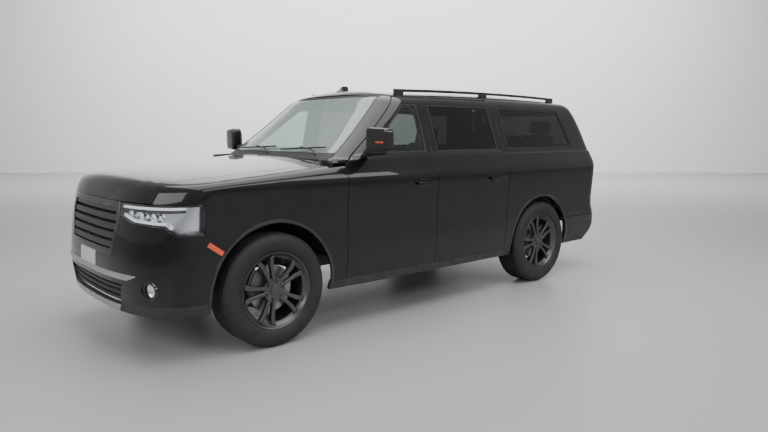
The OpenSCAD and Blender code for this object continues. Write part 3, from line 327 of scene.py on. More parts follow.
def plate(name, body, slot, material, shape, place, size, cuts, thick=0.018, depth=0.0, lip=0.0025,
          mirror=False, stands_for=(), both=False):
    """A closed plate that lies in the body's surface: laid out, cut, given its edge and its back."""
    bm = bmesh.new()
    bmesh.ops.create_grid(bm, x_segments=size[0], y_segments=size[1], size=0.5)
    uv = np.array([v.co[:2] for v in bm.verts]) + 0.5
    for v, p in zip(bm.verts, place(uv[:, 0], uv[:, 1])):
        v.co = p
    for cut in cuts:
        carve(bm, *cut)
    bmesh.ops.remove_doubles(bm, verts=bm.verts, dist=2e-4)
    bmesh.ops.dissolve_degenerate(bm, edges=bm.edges, dist=1e-4)
    bm.verts.ensure_lookup_table()
    co = np.array([v.co for v in bm.verts])
    no = normals_of(shape, co)
    # turn the faces outwards, and drop the surface to its depth
    if sum(f.normal.dot(Vector(no[f.verts[0].index])) for f in bm.faces) < 0:
        bmesh.ops.reverse_faces(bm, faces=bm.faces)
    bm.normal_update()
    t = thick(co) if callable(thick) else np.full(len(co), thick)
    dp = depth(co) if callable(depth) else np.full(len(co), depth)
    co = co - no * dp[:, None]
    ln, lb, lk = (bm.verts.layers.float_vector.new(s) for s in ("n", "b", "c"))
    la, lt = bm.verts.layers.float.new("a"), bm.verts.layers.float.new("t")
    side = bm.faces.layers.int.new("side")
    for v, p, n, tt in zip(bm.verts, co, no, t):
        v.co, v[ln], v[lk], v[lt] = p, n, p, tt
    rim = [e for e in bm.edges if len(e.link_faces) == 1]
    out = {}
    for e in rim:
        f = e.link_faces[0]
        a, b = e.verts
        n = a[ln]
        d = (b.co - a.co).cross(n)
        if d.dot(f.calc_center_median() - a.co) > 0:
            d.negate()
        if d.length > 1e-9:
            for v in (a, b):
                out[v] = out.get(v, Vector()) + d.normalized()
    for v, d in out.items():
        d = d - v[ln] * d.dot(v[ln])
        v[lb] = d.normalized() if d.length > 1e-6 else Vector((0, 0, 0))
    front = list(bm.faces)
    back = bmesh.ops.duplicate(bm, geom=list(bm.verts) + list(bm.edges) + front)["geom"]
    back_faces = [g for g in back if isinstance(g, bmesh.types.BMFace)]
    for g in back:
        if isinstance(g, bmesh.types.BMVert):
            g.co = g[lk] - g[ln] * g[lt] + g[lb] * lip
    for f in back_faces:
        f[side] = 2
    bmesh.ops.reverse_faces(bm, faces=back_faces)
    edges = rim
    for angle in (30, 60, 90, 91):
        geom = bmesh.ops.extrude_edge_only(bm, edges=edges)["geom"]
        edges = [g for g in geom if isinstance(g, bmesh.types.BMEdge) and len(g.link_faces) == 1]
        s, c = math.sin(math.radians(min(angle, 90))), math.cos(math.radians(min(angle, 90)))
        for v in {v for e in edges for v in e.verts}:
            drop = v[lt] if angle > 90 else lip * (1 - c)
            v.co = v[lk] + v[lb] * (lip * s) - v[ln] * drop
            v[la] = min(angle, 90)
        for g in geom:
            if isinstance(g, bmesh.types.BMFace):
                g[side] = 1
    bmesh.ops.remove_doubles(bm, verts=bm.verts, dist=3e-5)
    if mirror or both:
        geom = list(bm.verts) + list(bm.edges) + list(bm.faces)
        if both:
            geom = bmesh.ops.duplicate(bm, geom=geom)["geom"]
        turned = [g for g in geom if isinstance(g, bmesh.types.BMVert)]
        for v in turned:
            v.co.x, v[ln], v[lb] = -v.co.x, (-v[ln][0], *v[ln][1:]), (-v[lb][0], *v[lb][1:])
        bmesh.ops.reverse_faces(bm, faces=[g for g in geom if isinstance(g, bmesh.types.BMFace)])
    normals = []
    bm.verts.index_update()
    for f in bm.faces:
        for v in f.verts:
            if f[side] == 2:
                normals.append(-v[ln])
            elif f[side] == 1:
                a = math.radians(v[la])
                normals.append((v[ln] * math.cos(a) + v[lb] * math.sin(a)).normalized()
                               if v[la] else v[ln])
            else:
                normals.append(v[ln])
    mesh = bpy.data.meshes.new(name)
    bm.to_mesh(mesh)
    bm.free()
    mesh.shade_smooth()
    mesh.normals_split_custom_set(normals)
    for layer in ("n", "b", "c", "a", "t", "side"):
        if layer in mesh.attributes:
            mesh.attributes.remove(mesh.attributes[layer])
    return add_piece(name, mesh, body, material, stands_for)


# ---------------------------------------------------------------- outlines, as in the CAD
def pillar_y(z):
    return fa(176 + float(curve((z - BELT) * 1000, SCREEN_SETBACK)))


Y_DOOR_FRONT, Y_DOOR_REAR = fa(620), ra(-560)
Y_PILLAR = (Y_DOOR_FRONT + Y_DOOR_REAR) / 2
Z_SILL, Z_SILL_TOP, Z_TOP = 0.4, 0.61, ROOF - 0.096
HINGE = 0.025
PILLAR_ZS = [BELT + 0.004, 1.36, 1.43, 1.5, 1.57, 1.64, 1.7, 1.75, Z_TOP]
FRONT_DOOR = [(Y_DOOR_FRONT, Z_SILL), (Y_DOOR_FRONT, BELT - 0.028)] + \
    [(pillar_y(z), z) for z in PILLAR_ZS] + [(Y_PILLAR - GAP / 2, Z_TOP), (Y_PILLAR - GAP / 2, Z_SILL)]
FRONT_BOX = [(Y_DOOR_FRONT + HINGE + .005, Z_SILL_TOP + .015), (Y_DOOR_FRONT + HINGE + .005, BELT - .012)] + \
    [(pillar_y(z) + .037, z) for z in (BELT + .012, 1.4, 1.5, 1.6, 1.7)] + \
    [(pillar_y(Z_TOP - .026) + .04, Z_TOP - .026), (Y_PILLAR - .042, Z_TOP - .026),
     (Y_PILLAR - .042, Z_SILL_TOP + .015)]
FRONT_WINDOW = [(pillar_y(BELT + .045) + .098, BELT + .045)] + \
    [(pillar_y(z) + .095, z) for z in (1.4, 1.45, 1.5, 1.56, 1.62, 1.68)] + \
    [(pillar_y(Z_TOP - .054) + .096, Z_TOP - .054), (Y_PILLAR - .062, Z_TOP - .054),
     (Y_PILLAR - .062, BELT + .045)]
REAR_DOOR = [(Y_PILLAR + GAP / 2, Z_SILL), (Y_PILLAR + GAP / 2, Z_TOP), (Y_DOOR_REAR - .04, Z_TOP),
             (Y_DOOR_REAR, BELT), (Y_DOOR_REAR, .9), (Y_DOOR_REAR - .01, Z_SILL)]
REAR_BOX = [(Y_PILLAR + GAP / 2 + HINGE + .005, Z_SILL_TOP + .015),
            (Y_PILLAR + GAP / 2 + HINGE + .005, Z_TOP - .026), (Y_DOOR_REAR - .082, Z_TOP - .026),
            (Y_DOOR_REAR - .042, BELT), (Y_DOOR_REAR - .042, .9), (Y_DOOR_REAR - .05, Z_SILL_TOP + .015)]
REAR_WINDOW = [(Y_PILLAR + .062, BELT + .045), (Y_PILLAR + .062, Z_TOP - .054),
               (Y_DOOR_REAR - .104, Z_TOP - .054), (Y_DOOR_REAR - .072, BELT + .045)]
QUARTER_WINDOW = [(Y_DOOR_REAR + .082, BELT + .05), (Y_DOOR_REAR + .062, Z_TOP - .056),
                  (Y_GATE - .27, Z_TOP - .074), (Y_GATE - .15, BELT + .05)]
WINDSCREEN = [(-.8, BELT + .042), (.8, BELT + .042), (.742, 1.5), (.676, 1.7), (.632, ROOF - .074),
              (-.632, ROOF - .074), (-.676, 1.7), (-.742, 1.5)]
GATE = [(-.82, Z_GATE), (.82, Z_GATE), (.836, 1.13), (.806, 1.33), (.742, 1.56), (.668, 1.76),
        (.64, ROOF + .02), (-.64, ROOF + .02), (-.668, 1.76), (-.742, 1.56), (-.806, 1.33), (-.836, 1.13)]
GATE_WINDOW = [(-.716, BELT + .056), (.716, BELT + .056), (.676, 1.5), (.608, ROOF - .178),
               (-.608, ROOF - .178), (-.676, 1.5)]
TAIL_LAMP = [(.85, .8), (1.1, .8), (1.1, BELT - .01), (.826, BELT - .01), (.85, 1.13)]
BONNET = [(-.76, fa(-1100)), (.76, fa(-1100)), (.79, fa(-600)), (.836, fa(-100)), (.858, fa(540)),
          (.6, fa(470)), (.3, fa(425)), (0, fa(410)), (-.3, fa(425)), (-.6, fa(470)), (-.858, fa(540)),
          (-.836, fa(-100)), (-.79, fa(-600))]
HEADLAMP = [(.478, 1.048), (.494, .96), (.64, .918), (.88, .905), (.94, .85), (1.1, .85), (1.1, 1.048)]
GRILLE = [(-.47, 1.048), (-.5, .9), (-.43, .7), (.43, .7), (.5, .9), (.47, 1.048)]
INTAKE = [(-.56, .52), (-.5, .372), (.5, .372), (.56, .52)]
Y_LAMP_END, Y_BUMPER_END, Z_LIP, SEAM = fa(-520), fa(-300), 1.056, .004
FENDER = [(Y_BUMPER_END + SEAM, .69), (Y_LAMP_END + SEAM, .85), (Y_LAMP_END + SEAM, 1.052),
          (NOSE - .1, 1.052), (NOSE - .1, 1.4), (Y_DOOR_FRONT - GAP, 1.4), (Y_DOOR_FRONT - GAP, .36),
          (fa(380), .36), (fa(0), .7)]
FRONT_ARCH_LINE = circle_outline(FRONT_AXLE, HUB_Z, FRONT_ARCH)
REAR_ARCH_LINE = circle_outline(REAR_AXLE, HUB_Z, REAR_ARCH)



# ---------------------------------------------------------------- shader groups
def new_group(name, inputs, outputs):
    tree = bpy.data.node_groups.new(name, "ShaderNodeTree")
    for label, kind, value in inputs:
        s = tree.interface.new_socket(name=label, in_out="INPUT", socket_type=kind)
        s.default_value = value
    for label, kind in outputs:
        tree.interface.new_socket(name=label, in_out="OUTPUT", socket_type=kind)
    return tree, tree.nodes.new("NodeGroupInput"), tree.nodes.new("NodeGroupOutput")


def noise(tree, vector, scale, detail=3.0, rough=0.5):
    n = tree.nodes.new("ShaderNodeTexNoise")
    n.inputs["Detail"].default_value, n.inputs["Roughness"].default_value = detail, rough
    tree.links.new(vector, n.inputs["Vector"])
    if isinstance(scale, float):
        n.inputs["Scale"].default_value = scale
    else:
        tree.links.new(scale, n.inputs["Scale"])
    return n.outputs["Fac"]


def spread(tree, value, lo, hi, to_lo=0.0, to_hi=1.0):
    n = tree.nodes.new("ShaderNodeMapRange")
    for k, v in zip(("From Min", "From Max", "To Min", "To Max"), (lo, hi, to_lo, to_hi)):
        n.inputs[k].default_value = v
    tree.links.new(value, n.inputs["Value"])
    return n.outputs["Result"]


def sum_of(tree, kind, a, b):
    n = tree.nodes.new("ShaderNodeMath")
    n.operation = kind
    for s, v in zip(n.inputs, (a, b)):
        if isinstance(v, (int, float)):
            s.default_value = v
        else:
            tree.links.new(v, s)
    return n.outputs[0]


def mixed(tree, fac, a, b):
    n = tree.nodes.new("ShaderNodeMix")
    n.data_type = "RGBA"
    tree.links.new(fac, n.inputs["Factor"])
    for s, v in ((n.inputs["A"], a), (n.inputs["B"], b)):
        if isinstance(v, (tuple, list)):
            s.default_value = (*v[:3], 1)
        else:
            tree.links.new(v, s)
    return n.outputs["Result"]


def make_grain():
    """Fine moulded, cast or leather grain."""
    t, i, o = new_group("moulded_grain", [("Scale", "NodeSocketFloat", 900.0), ("Pebble", "NodeSocketFloat", 0.5)],
                        [("Height", "NodeSocketFloat"), ("Mask", "NodeSocketFloat")])
    c = t.nodes.new("ShaderNodeTexCoord").outputs["Object"]
    fine = noise(t, c, i.outputs["Scale"], 4.0, 0.6)
    v = t.nodes.new("ShaderNodeTexVoronoi")
    t.links.new(c, v.inputs["Vector"])
    t.links.new(i.outputs["Scale"], v.inputs["Scale"])
    cells = sum_of(t, "MULTIPLY", v.outputs["Distance"], i.outputs["Pebble"])
    t.links.new(sum_of(t, "ADD", fine, cells), o.inputs["Height"])
    t.links.new(spread(t, noise(t, c, 3.2, 5.0, 0.6), 0.35, 0.7), o.inputs["Mask"])
    return t


def make_road_dust():
    """A thin film of dust that thickens towards the ground."""
    t, i, o = new_group("road_dust", [("Colour", "NodeSocketColor", (0.1, 0.1, 0.1, 1)),
                                      ("Dust", "NodeSocketColor", (0.3, 0.28, 0.25, 1)),
                                      ("Amount", "NodeSocketFloat", 0.3), ("Top", "NodeSocketFloat", 0.9)],
                        [("Colour", "NodeSocketColor"), ("Mask", "NodeSocketFloat")])
    c = t.nodes.new("ShaderNodeTexCoord").outputs["Object"]
    sep = t.nodes.new("ShaderNodeSeparateXYZ")
    t.links.new(c, sep.inputs[0])
    low = sum_of(t, "SUBTRACT", 1.0, sum_of(t, "DIVIDE", sep.outputs["Z"], i.outputs["Top"]))
    cloud = spread(t, noise(t, c, 9.0, 6.0, 0.65), 0.3, 0.8)
    m = sum_of(t, "MULTIPLY", sum_of(t, "MAXIMUM", low, 0.0), cloud)
    m = sum_of(t, "MULTIPLY", m, i.outputs["Amount"])
    t.links.new(m, o.inputs["Mask"])
    t.links.new(mixed(t, m, i.outputs["Colour"], i.outputs["Dust"]), o.inputs["Colour"])
    return t


def make_weave():
    """Threads that cross, for carpet and roof lining."""
    t, i, o = new_group("thread_weave", [("Scale", "NodeSocketFloat", 500.0)], [("Height", "NodeSocketFloat")])
    c = t.nodes.new("ShaderNodeTexCoord").outputs["Object"]
    waves = []
    for d in ("X", "Y"):
        w = t.nodes.new("ShaderNodeTexWave")
        w.bands_direction = d
        w.inputs["Distortion"].default_value = 1.5
        t.links.new(c, w.inputs["Vector"])
        t.links.new(i.outputs["Scale"], w.inputs["Scale"])
        waves.append(w.outputs["Fac"])
    t.links.new(sum_of(t, "MAXIMUM", *waves), o.inputs["Height"])
    return t


GRAIN, ROAD_DUST, WEAVE = make_grain(), make_road_dust(), make_weave()


def use(tree, group, **values):
    n = tree.nodes.new("ShaderNodeGroup")
    n.node_tree = group
    for k, v in values.items():
        s = n.inputs[k]
        if isinstance(v, (int, float)):
            s.default_value = v
        elif isinstance(v, tuple):
            s.default_value = (*v[:3], 1)
        else:
            tree.links.new(v, s)
    return n


def material(name, colour, rough=0.5, metal=0.0, grain=600.0, bump=0.1, pebble=0.4, second=None, dust=0.0,
             dust_top=0.9, weave=0.0, rough_spread=0.12, **sockets):
    """A finish with its own colour drift, grain, dust and roughness; sockets are set on the shader itself."""
    m = bpy.data.materials.new(name)
    m.use_nodes = True
    t = m.node_tree
    b = t.nodes["Principled BSDF"]
    g = use(t, GRAIN, Scale=float(grain), Pebble=float(pebble))
    second = second or tuple(min(1, c * 1.3 + 0.002) for c in colour)
    c = mixed(t, g.outputs["Mask"], colour, second)
    if dust:
        d = use(t, ROAD_DUST, Colour=c, Amount=float(dust), Top=float(dust_top))
        c = d.outputs["Colour"]
    t.links.new(c, b.inputs["Base Color"])
    r = spread(t, g.outputs["Mask"], 0.0, 1.0, max(0.02, rough - rough_spread / 2), min(1, rough + rough_spread / 2))
    if dust:
        r = sum_of(t, "ADD", r, sum_of(t, "MULTIPLY", d.outputs["Mask"], 0.5))
    t.links.new(r, b.inputs["Roughness"])
    b.inputs["Metallic"].default_value = metal
    if bump:
        h = g.outputs["Height"]
        if weave:
            h = use(t, WEAVE, Scale=float(weave)).outputs["Height"]
        n = t.nodes.new("ShaderNodeBump")
        n.inputs["Strength"].default_value, n.inputs["Distance"].default_value = bump, 0.001
        t.links.new(h, n.inputs["Height"])
        t.links.new(n.outputs["Normal"], b.inputs["Normal"])
    for k, v in sockets.items():
        b.inputs[k.replace("_", " ")].default_value = (*v[:3], 1) if isinstance(v, tuple) else v
    return m


def glass_finish(name, colour, rough, grain=40.0, **sockets):
    return material(name, colour, rough, 0.0, grain, 0.0, 0.1, tuple(c * 0.96 for c in colour),
                    rough_spread=0.015, Transmission_Weight=1.0, **sockets)


PAINT = material("black_paint", (0.003, 0.0032, 0.0036), 0.3, 0.0, 1400.0, 0.012, 0.3, (0.006, 0.0065, 0.0075),
                 dust=0.05, dust_top=0.7, rough_spread=0.06, Specular_IOR_Level=0.1, Coat_Weight=1.0,
                 Coat_Roughness=0.03, Coat_IOR=1.42)
UNDER_PAINT = material("painted_inner_panel", (0.006, 0.006, 0.0065), 0.4, 0.0, 700.0, 0.05, dust=0.2)
GLOSS_BLACK = material("gloss_black_trim", (0.006, 0.006, 0.006), 0.12, 0.0, 500.0, 0.01, Coat_Weight=0.6)
MATT_BLACK = material("moulded_black_plastic", (0.014, 0.014, 0.015), 0.55, 0.0, 1500.0, 0.25, 0.9, dust=0.25)
SEAL = material("rubber_seal", (0.008, 0.008, 0.008), 0.6, 0.0, 900.0, 0.1)
SILVER = material("silver_trim", (0.42, 0.43, 0.44), 0.3, 0.75, 900.0, 0.05, 0.2, (0.5, 0.51, 0.52), dust=0.12)
BRIGHT = material("bright_trim", (0.62, 0.62, 0.63), 0.14, 1.0, 500.0, 0.015, rough_spread=0.05)
SATIN_DARK = material("dark_grey_alloy", (0.075, 0.077, 0.082), 0.32, 0.8, 900.0, 0.04, 0.2, (0.1, 0.102, 0.106),
                      dust=0.25, dust_top=1.2)
MACHINED = material("machined_disc", (0.36, 0.35, 0.34), 0.34, 0.95, 240.0, 0.12, 0.1, (0.26, 0.24, 0.22), dust=0.3)
CALIPER = material("cast_caliper", (0.11, 0.11, 0.115), 0.5, 0.5, 500.0, 0.3, 0.8, dust=0.4)
TYRE = material("tyre_rubber", (0.009, 0.009, 0.0095), 0.68, 0.0, 700.0, 0.2, 0.6, (0.014, 0.014, 0.014), dust=0.1,
                dust_top=1.0)
CLEAR_GLASS = glass_finish("green_tinted_glass", (0.78, 0.88, 0.84), 0.008, IOR=1.45)
SCREEN_GLASS = material("pale_green_screen_glass", (0.62, 0.74, 0.68), 0.012, 0.0, 40.0, 0.0, 0.1, (0.6, 0.72, 0.66),
                        rough_spread=0.015, Transmission_Weight=0.74, IOR=1.5)
AMBER = material("amber_marker_lens", (0.75, 0.085, 0.02), 0.2, 0.0, 300.0, 0.2, 0.8, (0.85, 0.12, 0.03),
                 Coat_Weight=0.7)
PRIVACY_GLASS = glass_finish("dark_tinted_glass", (0.10, 0.105, 0.11), 0.008, IOR=1.45)
LENS = glass_finish("clear_lamp_lens", (0.97, 0.98, 1.0), 0.01, IOR=1.4)
RED_LENS = glass_finish("red_lamp_lens", (0.55, 0.008, 0.012), 0.03, IOR=1.45)
REFLECTOR = material("lamp_reflector", (0.86, 0.87, 0.89), 0.16, 0.95, 120.0, 0.02, rough_spread=0.06)
LIGHT_GUIDE = material("white_light_guide", (0.9, 0.92, 0.95), 0.25, 0.0, 300.0, 0.03, rough_spread=0.05,
                       Emission_Color=(0.9, 0.95, 1.0), Emission_Strength=0.5)
RED_INNER = material("red_reflector", (0.42, 0.012, 0.014), 0.22, 0.3, 260.0, 0.5, 1.0, Coat_Weight=0.5)
LEATHER = material("black_leather", (0.022, 0.022, 0.024), 0.48, 0.0, 520.0, 0.4, 1.0, (0.032, 0.032, 0.034),
                   Sheen_Weight=0.08)
SOFT_TRIM = material("soft_dash_skin", (0.02, 0.02, 0.021), 0.6, 0.0, 700.0, 0.3, 1.0)
LINING = material("pale_roof_lining", (0.36, 0.35, 0.33), 0.95, 0.0, 300.0, 0.3, weave=420.0, Sheen_Weight=0.2)
CARPET = material("black_carpet", (0.016, 0.016, 0.017), 0.97, 0.0, 500.0, 0.9, 0.9, weave=260.0, Sheen_Weight=0.2)
SCREEN = material("dark_display", (0.004, 0.005, 0.007), 0.08, 0.0, 300.0, 0.004, Coat_Weight=0.8)
FRAME_COAT = material("coated_frame_steel", (0.016, 0.016, 0.017), 0.5, 0.3, 220.0, 0.3, 0.6, (0.03, 0.027, 0.024),
                      dust=0.7, dust_top=1.0)
IRON = material("bare_cast_iron", (0.06, 0.055, 0.05), 0.62, 0.6, 180.0, 0.5, 0.8, (0.09, 0.06, 0.045), dust=0.6)
EXHAUST = material("heated_exhaust_steel", (0.2, 0.19, 0.18), 0.4, 0.9, 90.0, 0.15, 0.3, (0.16, 0.11, 0.07), dust=0.5)
CASTING = material("engine_casting", (0.16, 0.16, 0.165), 0.55, 0.7, 260.0, 0.5, 0.9, (0.11, 0.11, 0.11), dust=0.4)
TANK = material("black_tank_shell", (0.015, 0.015, 0.016), 0.5, 0.0, 300.0, 0.2, 0.7, dust=0.6)
PLATE = material("blank_plate", (0.55, 0.55, 0.54), 0.4, 0.0, 700.0, 0.08, dust=0.1)


# ---------------------------------------------------------------- body panels
def panel(name, body, slot, finish, shape, place, size, cuts, stands_for=(), **kw):
    return plate(name, body, slot, finish, shape, place, size, cuts, stands_for=stands_for, **kw)


def side_skin(y0, y1, z0=0.38, z1=1.7, turn=0.55):
    return side_place(body_shape, y0, y1, z0, z1, turn, 0.25, 0.5)


def above_belt_wall(co):
    return np.where(co[:, 2] > BELT, FRAME_WALL, WALL)


# bonnet: upright rays, then down over its leading edge
panel("bonnet_skin", "bonnet_lid", "body_paint", PAINT, nose_shape,
      long_place(nose_shape, -0.93, 0.93, fa(560), NOSE + 0.33, 0.7, 1.35, 0.3, -1), (100, 76),
      [(BONNET, "z", True), ([(-1.2, Z_LIP), (1.2, Z_LIP), (1.2, 1.5), (-1.2, 1.5)], "y", True)],
      stands_for="bonnet", thick=0.03)
for s, side in ((1, "left"), (-1, "right")):
    panel(side + "_fender_skin", "chassis", "body_paint", PAINT, nose_shape,
          wrap_place(nose_shape, -1.1, 1.26, 0.34, 1.12, 1.1, 0.25, 0.72), (120, 72),
          [(FENDER, "x", True), (FRONT_ARCH_LINE, "x", False), (grown(BONNET, GAP), "z", False),
           ([(0.4, fa(300)), (0.848, fa(300)), (0.858, fa(540)), (0.861, fa(640)), (0.4, fa(640))], "z", False),
           ([(0.5, NOSE - 0.1), (1.3, NOSE - 0.1), (1.3, 0), (0.5, 0)], "z", True)],
          stands_for=side + "_fender", thick=0.02, mirror=s < 0)
    for end, line, box, window, y0, y1 in (
            ("front", FRONT_DOOR, FRONT_BOX, FRONT_WINDOW, Y_DOOR_FRONT - 0.03, Y_PILLAR + 0.02),
            ("rear", REAR_DOOR, REAR_BOX, REAR_WINDOW, Y_PILLAR - 0.02, Y_DOOR_REAR + 0.03)):
        node = f"{side}_{end}_door"
        panel(node + "_skin", node + "_leaf", "body_paint", PAINT, body_shape, side_skin(y0, y1), (64, 96),
              [(line, "x", True), (window, "x", False)] +
              ([(REAR_ARCH_LINE, "x", False)] if end == "rear" else []), thick=0.018, mirror=s < 0,
              stands_for=node)
        panel(node + "_lining", node + "_leaf", "dark_plastic", SOFT_TRIM, body_shape, side_skin(y0, y1), (40, 60),
              [(box, "x", True), (window, "x", False)], thick=lambda co: above_belt_wall(co) - 0.022,
              depth=0.021, mirror=s < 0, lip=0.006)
        panel(node + "_window_seal", node + "_leaf", "dark_plastic", SEAL, body_shape, side_skin(y0, y1), (64, 96),
              [(grown(window, -0.001), "x", True), (grown(window, -0.014), "x", False)], thick=0.012,
              depth=0.003, mirror=s < 0, lip=0.0015)
        panel(node + "_pane", node + "_leaf", "clear_glass" if end == "front" else "privacy_glass",
              CLEAR_GLASS if end == "front" else PRIVACY_GLASS, body_shape, side_skin(y0, y1), (32, 48),
              [(grown(window, -0.012), "x", True)], thick=0.005, depth=0.007, mirror=s < 0, lip=0.0008,
              stands_for=node + "_glass")
    # body side behind and above the doors
    panel(side + "_quarter_skin", "chassis", "body_paint", PAINT, body_shape,
          wrap_place(body_shape, 3.0, SIDE + 0.95, 0.38, 1.7, 0.62, 0.25, 0.55), (110, 104),
          [([(Y_DOOR_REAR - 0.06, 1.2), (Y_DOOR_REAR - 0.06, 1.9), (TAIL + 0.04, 1.9), (TAIL + 0.04, Z_GATE),
             (ra(400), Z_GATE), (ra(400), 0.5), (ra(0), 0.5), (ra(0), 0.38), (Y_DOOR_REAR - 0.06, 0.38)], "x", True),
           (grown(REAR_DOOR, GAP), "x", False), (REAR_ARCH_LINE, "x", False), (QUARTER_WINDOW, "x", False),
           (grown(GATE, GAP), "y", False, (Y_GATE - GAP, 3.0)), (TAIL_LAMP, "y", False, (TAIL - 0.23, 3.0)),
           ([(0.594, 0), (1.3, 0), (1.3, 3), (0.594, 3)], "z", True)],
          thick=0.03, mirror=s < 0)


def lean_place(shape, w0, w1, z0, z1, turn=0.0, radius=0.25, inner=0.7):
    """Rays round the leaning front of the cabin (w < 0) and on along its side (w > 0)."""
    def place(u, v):
        w = w0 + (w1 - w0) * u
        t = v * (z1 - z0 + radius * turn)
        level = np.clip(t, 0, z1 - z0)
        phi = np.clip(t - (z1 - z0), 0, None) / radius
        z = z0 + level
        angle = np.clip(w, None, 0) / ARC
        d = np.column_stack([np.cos(angle), np.sin(angle)])
        yc = fa(curve((z - BELT) * 1000, SCREEN_SETBACK)) + SCREEN_LEN + np.clip(w, 0, None)
        c = np.column_stack([0 * w, yc])
        if turn:
            rim = hits(shape, np.column_stack([c, z]), np.column_stack([d, 0 * w]))
            up = (phi > 0)[:, None]
            c = np.where(up, c + (rim[:, :2] - c) * inner, c)
        o = np.column_stack([c, z])
        return hits(shape, o, np.column_stack([d * np.cos(phi)[:, None], np.sin(phi)]))
    return place


def gate_place(shape, half_angle, z0, z1, turn, radius=0.25, inner=0.7, yc=1.95):
    """Rays that fan out to the rear, then turn up and over the roof's rear edge."""
    def place(u, v):
        a = math.pi / 2 + half_angle * (1 - 2 * u)
        t = v * (z1 - z0 + radius * turn)
        level = np.clip(t, 0, z1 - z0)
        phi = np.clip(t - (z1 - z0), 0, None) / radius
        d = np.column_stack([np.cos(a), np.sin(a)])
        c = np.column_stack([0 * u, np.full(len(u), yc)])
        rim = hits(shape, np.column_stack([c, np.full(len(u), z1)]), np.column_stack([d, 0 * u]))
        up = (phi > 0)[:, None]
        c = np.where(up, c + (rim[:, :2] - c) * inner, c)
        o = np.column_stack([c, z0 + level])
        return hits(shape, o, np.column_stack([d * np.cos(phi)[:, None], np.sin(phi)]))
    return place


def flip(outline):
    return [(-x, z) for x, z in reversed(outline)]


def flat_box(a0, a1, b0, b1):
    return [(a0, b0), (a1, b0), (a1, b1), (a0, b1)]


def hinge_recess(co):
    """Extra depth behind the front edge of each door, which swings inwards there."""
    return np.interp(co[:, 1], [Y_DOOR_FRONT + 0.05, Y_DOOR_FRONT + 0.07, Y_PILLAR - 0.03, Y_PILLAR - 0.01,
                                Y_PILLAR + 0.055, Y_PILLAR + 0.075], [0.02, 0, 0, 0.02, 0.02, 0])


FULL_NOSE = (0.34, -ARC * math.pi - 0.34)
FULL_TAIL = (SIDE - 0.56, SIDE + ARC * math.pi + 0.56)

